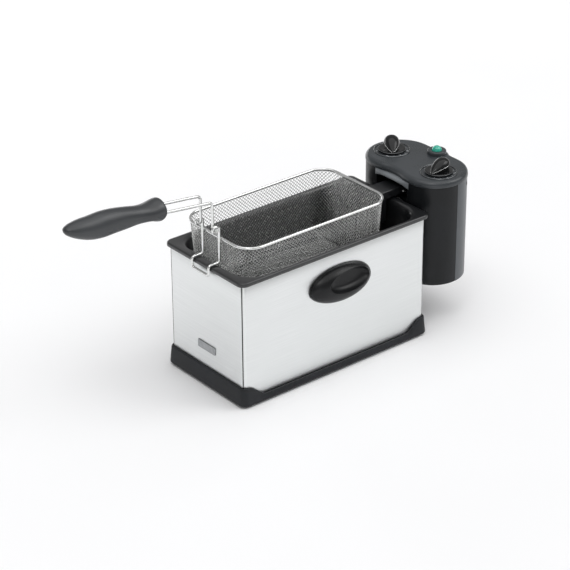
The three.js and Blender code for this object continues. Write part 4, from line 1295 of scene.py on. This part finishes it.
def back_fittings():
    """Red reset button and the cable gland on the back of the head."""
    button = span("reset_button")
    radius = 3.0
    profile = [(0.5, 0), (6, 0.1), (6, 1.6), (radius, 1.7), (radius, 8.9), (radius - 0.5, 9.6), (0.5, 9.8)]
    piece(
        "reset_plunger", [turned(profile, (button.x0, button.y, button.z), axis="X", steps=28)], RED,
        "reset_control", ["reset_button"],
    )
    gland = span("mains_cable_gland")
    bore, body, flange = 3.3, 5.8, gland.half_y
    long = gland.x1 - gland.x0
    wall_x = 8.0
    profile = [
        (bore, 0), (body, 0), (body, wall_x), (flange - 0.4, wall_x), (flange, wall_x + 0.5),
        (flange, wall_x + 1.9), (flange - 0.6, wall_x + 2.5),
    ]
    x = wall_x + 2.5
    while x < long - 1.2:
        profile += [(body, x), (body, x + 0.9), (body - 0.7, x + 1.0), (body - 0.7, x + 1.7)]
        x += 1.8
    profile += [(body - 0.6, long), (bore, long)]
    ring = turned(profile, (gland.x0, gland.y, gland.z), axis="X", steps=36, joined=True)
    piece("cable_gland", [ring], RUBBER, "control_head", ["mains_cable_gland"])


# ---------------------------------------------------------------- CAD nodes that stay

KEPT_NODES = {
    ZINC: (
        "head_guide_rail_1", "head_guide_rail_2", "safety_switch_tab", "element_clip", "thermostat_body",
        "side_handle_front_screw_1", "side_handle_front_screw_2",
        "side_handle_rear_screw_1", "side_handle_rear_screw_2",
    ),
    BLACK: ("head_guide_shoe_1", "head_guide_shoe_2", "safety_microswitch"),
    # The bottom cover takes the darkened plastic copy, which is painted shade.
    HEAD_PAINTED_SHADE_DARK: ("head_bottom_cover",),
    CREAM: ("timer_body", "indicator_lamp", "thermal_cutout", "terminal_block"),
    BRASS: ("timer_shaft", "thermostat_shaft"),
}


def finish_kept_nodes():
    for material, names in KEPT_NODES.items():
        for name in names:
            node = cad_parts[name]
            for slot in node.material_slots:
                slot.material = material
            soften(node, 0.3)


# ---------------------------------------------------------------- studio


def add_light(name, kind, place, target=(0, 0, 0)):
    """A light at a place, turned to a target."""
    light = bpy.data.lights.new(name, kind)
    obj = placed(name, light)
    obj.location = place
    obj.rotation_mode = "QUATERNION"
    obj.rotation_quaternion = (Vector(target) - obj.location).to_track_quat("-Z", "Y")
    return light


def soft_light(name, place, size, power):
    """A rectangular panel that faces the fryer."""
    light = add_light(name, "AREA", place, (0, 0, 0.15))
    light.shape = "RECTANGLE"
    light.size, light.size_y = size
    light.energy = power


def wide_light(name, towards, spread, strength):
    """A far, broad light lying in a direction, its spread in degrees."""
    light = add_light(name, "SUN", towards)
    light.angle = radians(spread)
    light.energy = strength


def studio():
    world = bpy.data.worlds.new("pale_room")
    world.use_nodes = True
    background = world.node_tree.nodes["Background"]
    background.inputs["Color"].default_value = (1, 1, 1, 1)
    background.inputs["Strength"].default_value = 0.41
    bpy.context.scene.world = world

    paper = Finish("backdrop_paper")
    mottle = paper.noise(3, detail=2)
    tone = paper.blend(paper.remap(mottle, 0, 1), colour(249, 249, 250), colour(251, 251, 252))
    paper.feed(Base_Color=tone, Roughness=0.9, Specular_IOR_Level=0.1)
    mesh = bpy.data.meshes.new("floor")
    reach = 8.0
    mesh.from_pydata([(-reach, -reach, 0), (reach, -reach, 0), (reach, reach, 0), (-reach, reach, 0)], [],
                     [(0, 1, 2, 3)])
    mesh.materials.append(paper.material)
    floor = placed("floor", mesh)

    wide_light("overhead_canopy", (0.0, -0.1, 1), 80, 1.28)
    wide_light("front_right_key", (0.75, -0.5, 0.8), 36, 0.72)
    wide_light("left_high_glint", (-0.395, -0.264, 0.879), 14, 0.2)
    soft_light("low_front_panel", (-1.7, -2.4, 0.45), (1.1, 0.7), 3)
    soft_light("low_back_panel", (0.5, 2.4, 0.35), (2.2, 0.45), 7)
    bpy.context.scene.view_settings.view_transform = "Standard"


def camera():
    """A long lens, seen from the front left and above, tipped very slightly."""
    azimuth, elevation, roll = (radians(a) for a in (-39.02, 27.82, -0.39))
    back = Vector((
        sin(azimuth) * cos(elevation), -cos(azimuth) * cos(elevation),
        sin(elevation),
    ))
    right = (-back).cross(Vector((0, 0, 1))).normalized()
    up = right.cross(-back)
    turned_right = right * cos(roll) + up * sin(roll)
    turned_up = up * cos(roll) - right * sin(roll)
    data = bpy.data.cameras.new("camera")
    data.sensor_width = 36
    data.lens = 139.755
    data.clip_start, data.clip_end = 0.1, 60
    obj = placed("camera", data)
    pose = Matrix((turned_right, turned_up, back)).transposed().to_4x4()
    pose.translation = (ORIGIN_X - 1.6335, -1.9866, 1.4523)
    obj.matrix_world = pose
    bpy.context.scene.camera = obj


# ---------------------------------------------------------------- the whole fryer

camera()
studio()
base_piece()
foot_pieces()
housing_piece()
badge_piece()
tank_piece()
side_handle_pieces()
basket_weave()
basket_rim_piece()
basket_hook_piece()
handle_rod_pieces()
handle_grip_piece()
head_shell_pieces()
head_recess_piece()
case_screw_piece()
head_deck_piece()
head_visor_piece()
bridge_arm_piece()
arm_screw_pieces()
heating_element_piece()
thermostat_bulb_piece()
knob_piece("timer", radians(53), "timer_control")
knob_piece("thermostat", radians(12), "thermostat_control")
dial_ring_piece("timer")
dial_ring_piece("thermostat")
marks_piece("timer", [str(minutes) for minutes in range(0, 31, 5)], 150, 300, 3.4)
marks_piece("thermostat", [str(level) for level in range(6)], 100, 250, 4.2)
lamp_pieces()
back_fittings()
finish_kept_nodes()
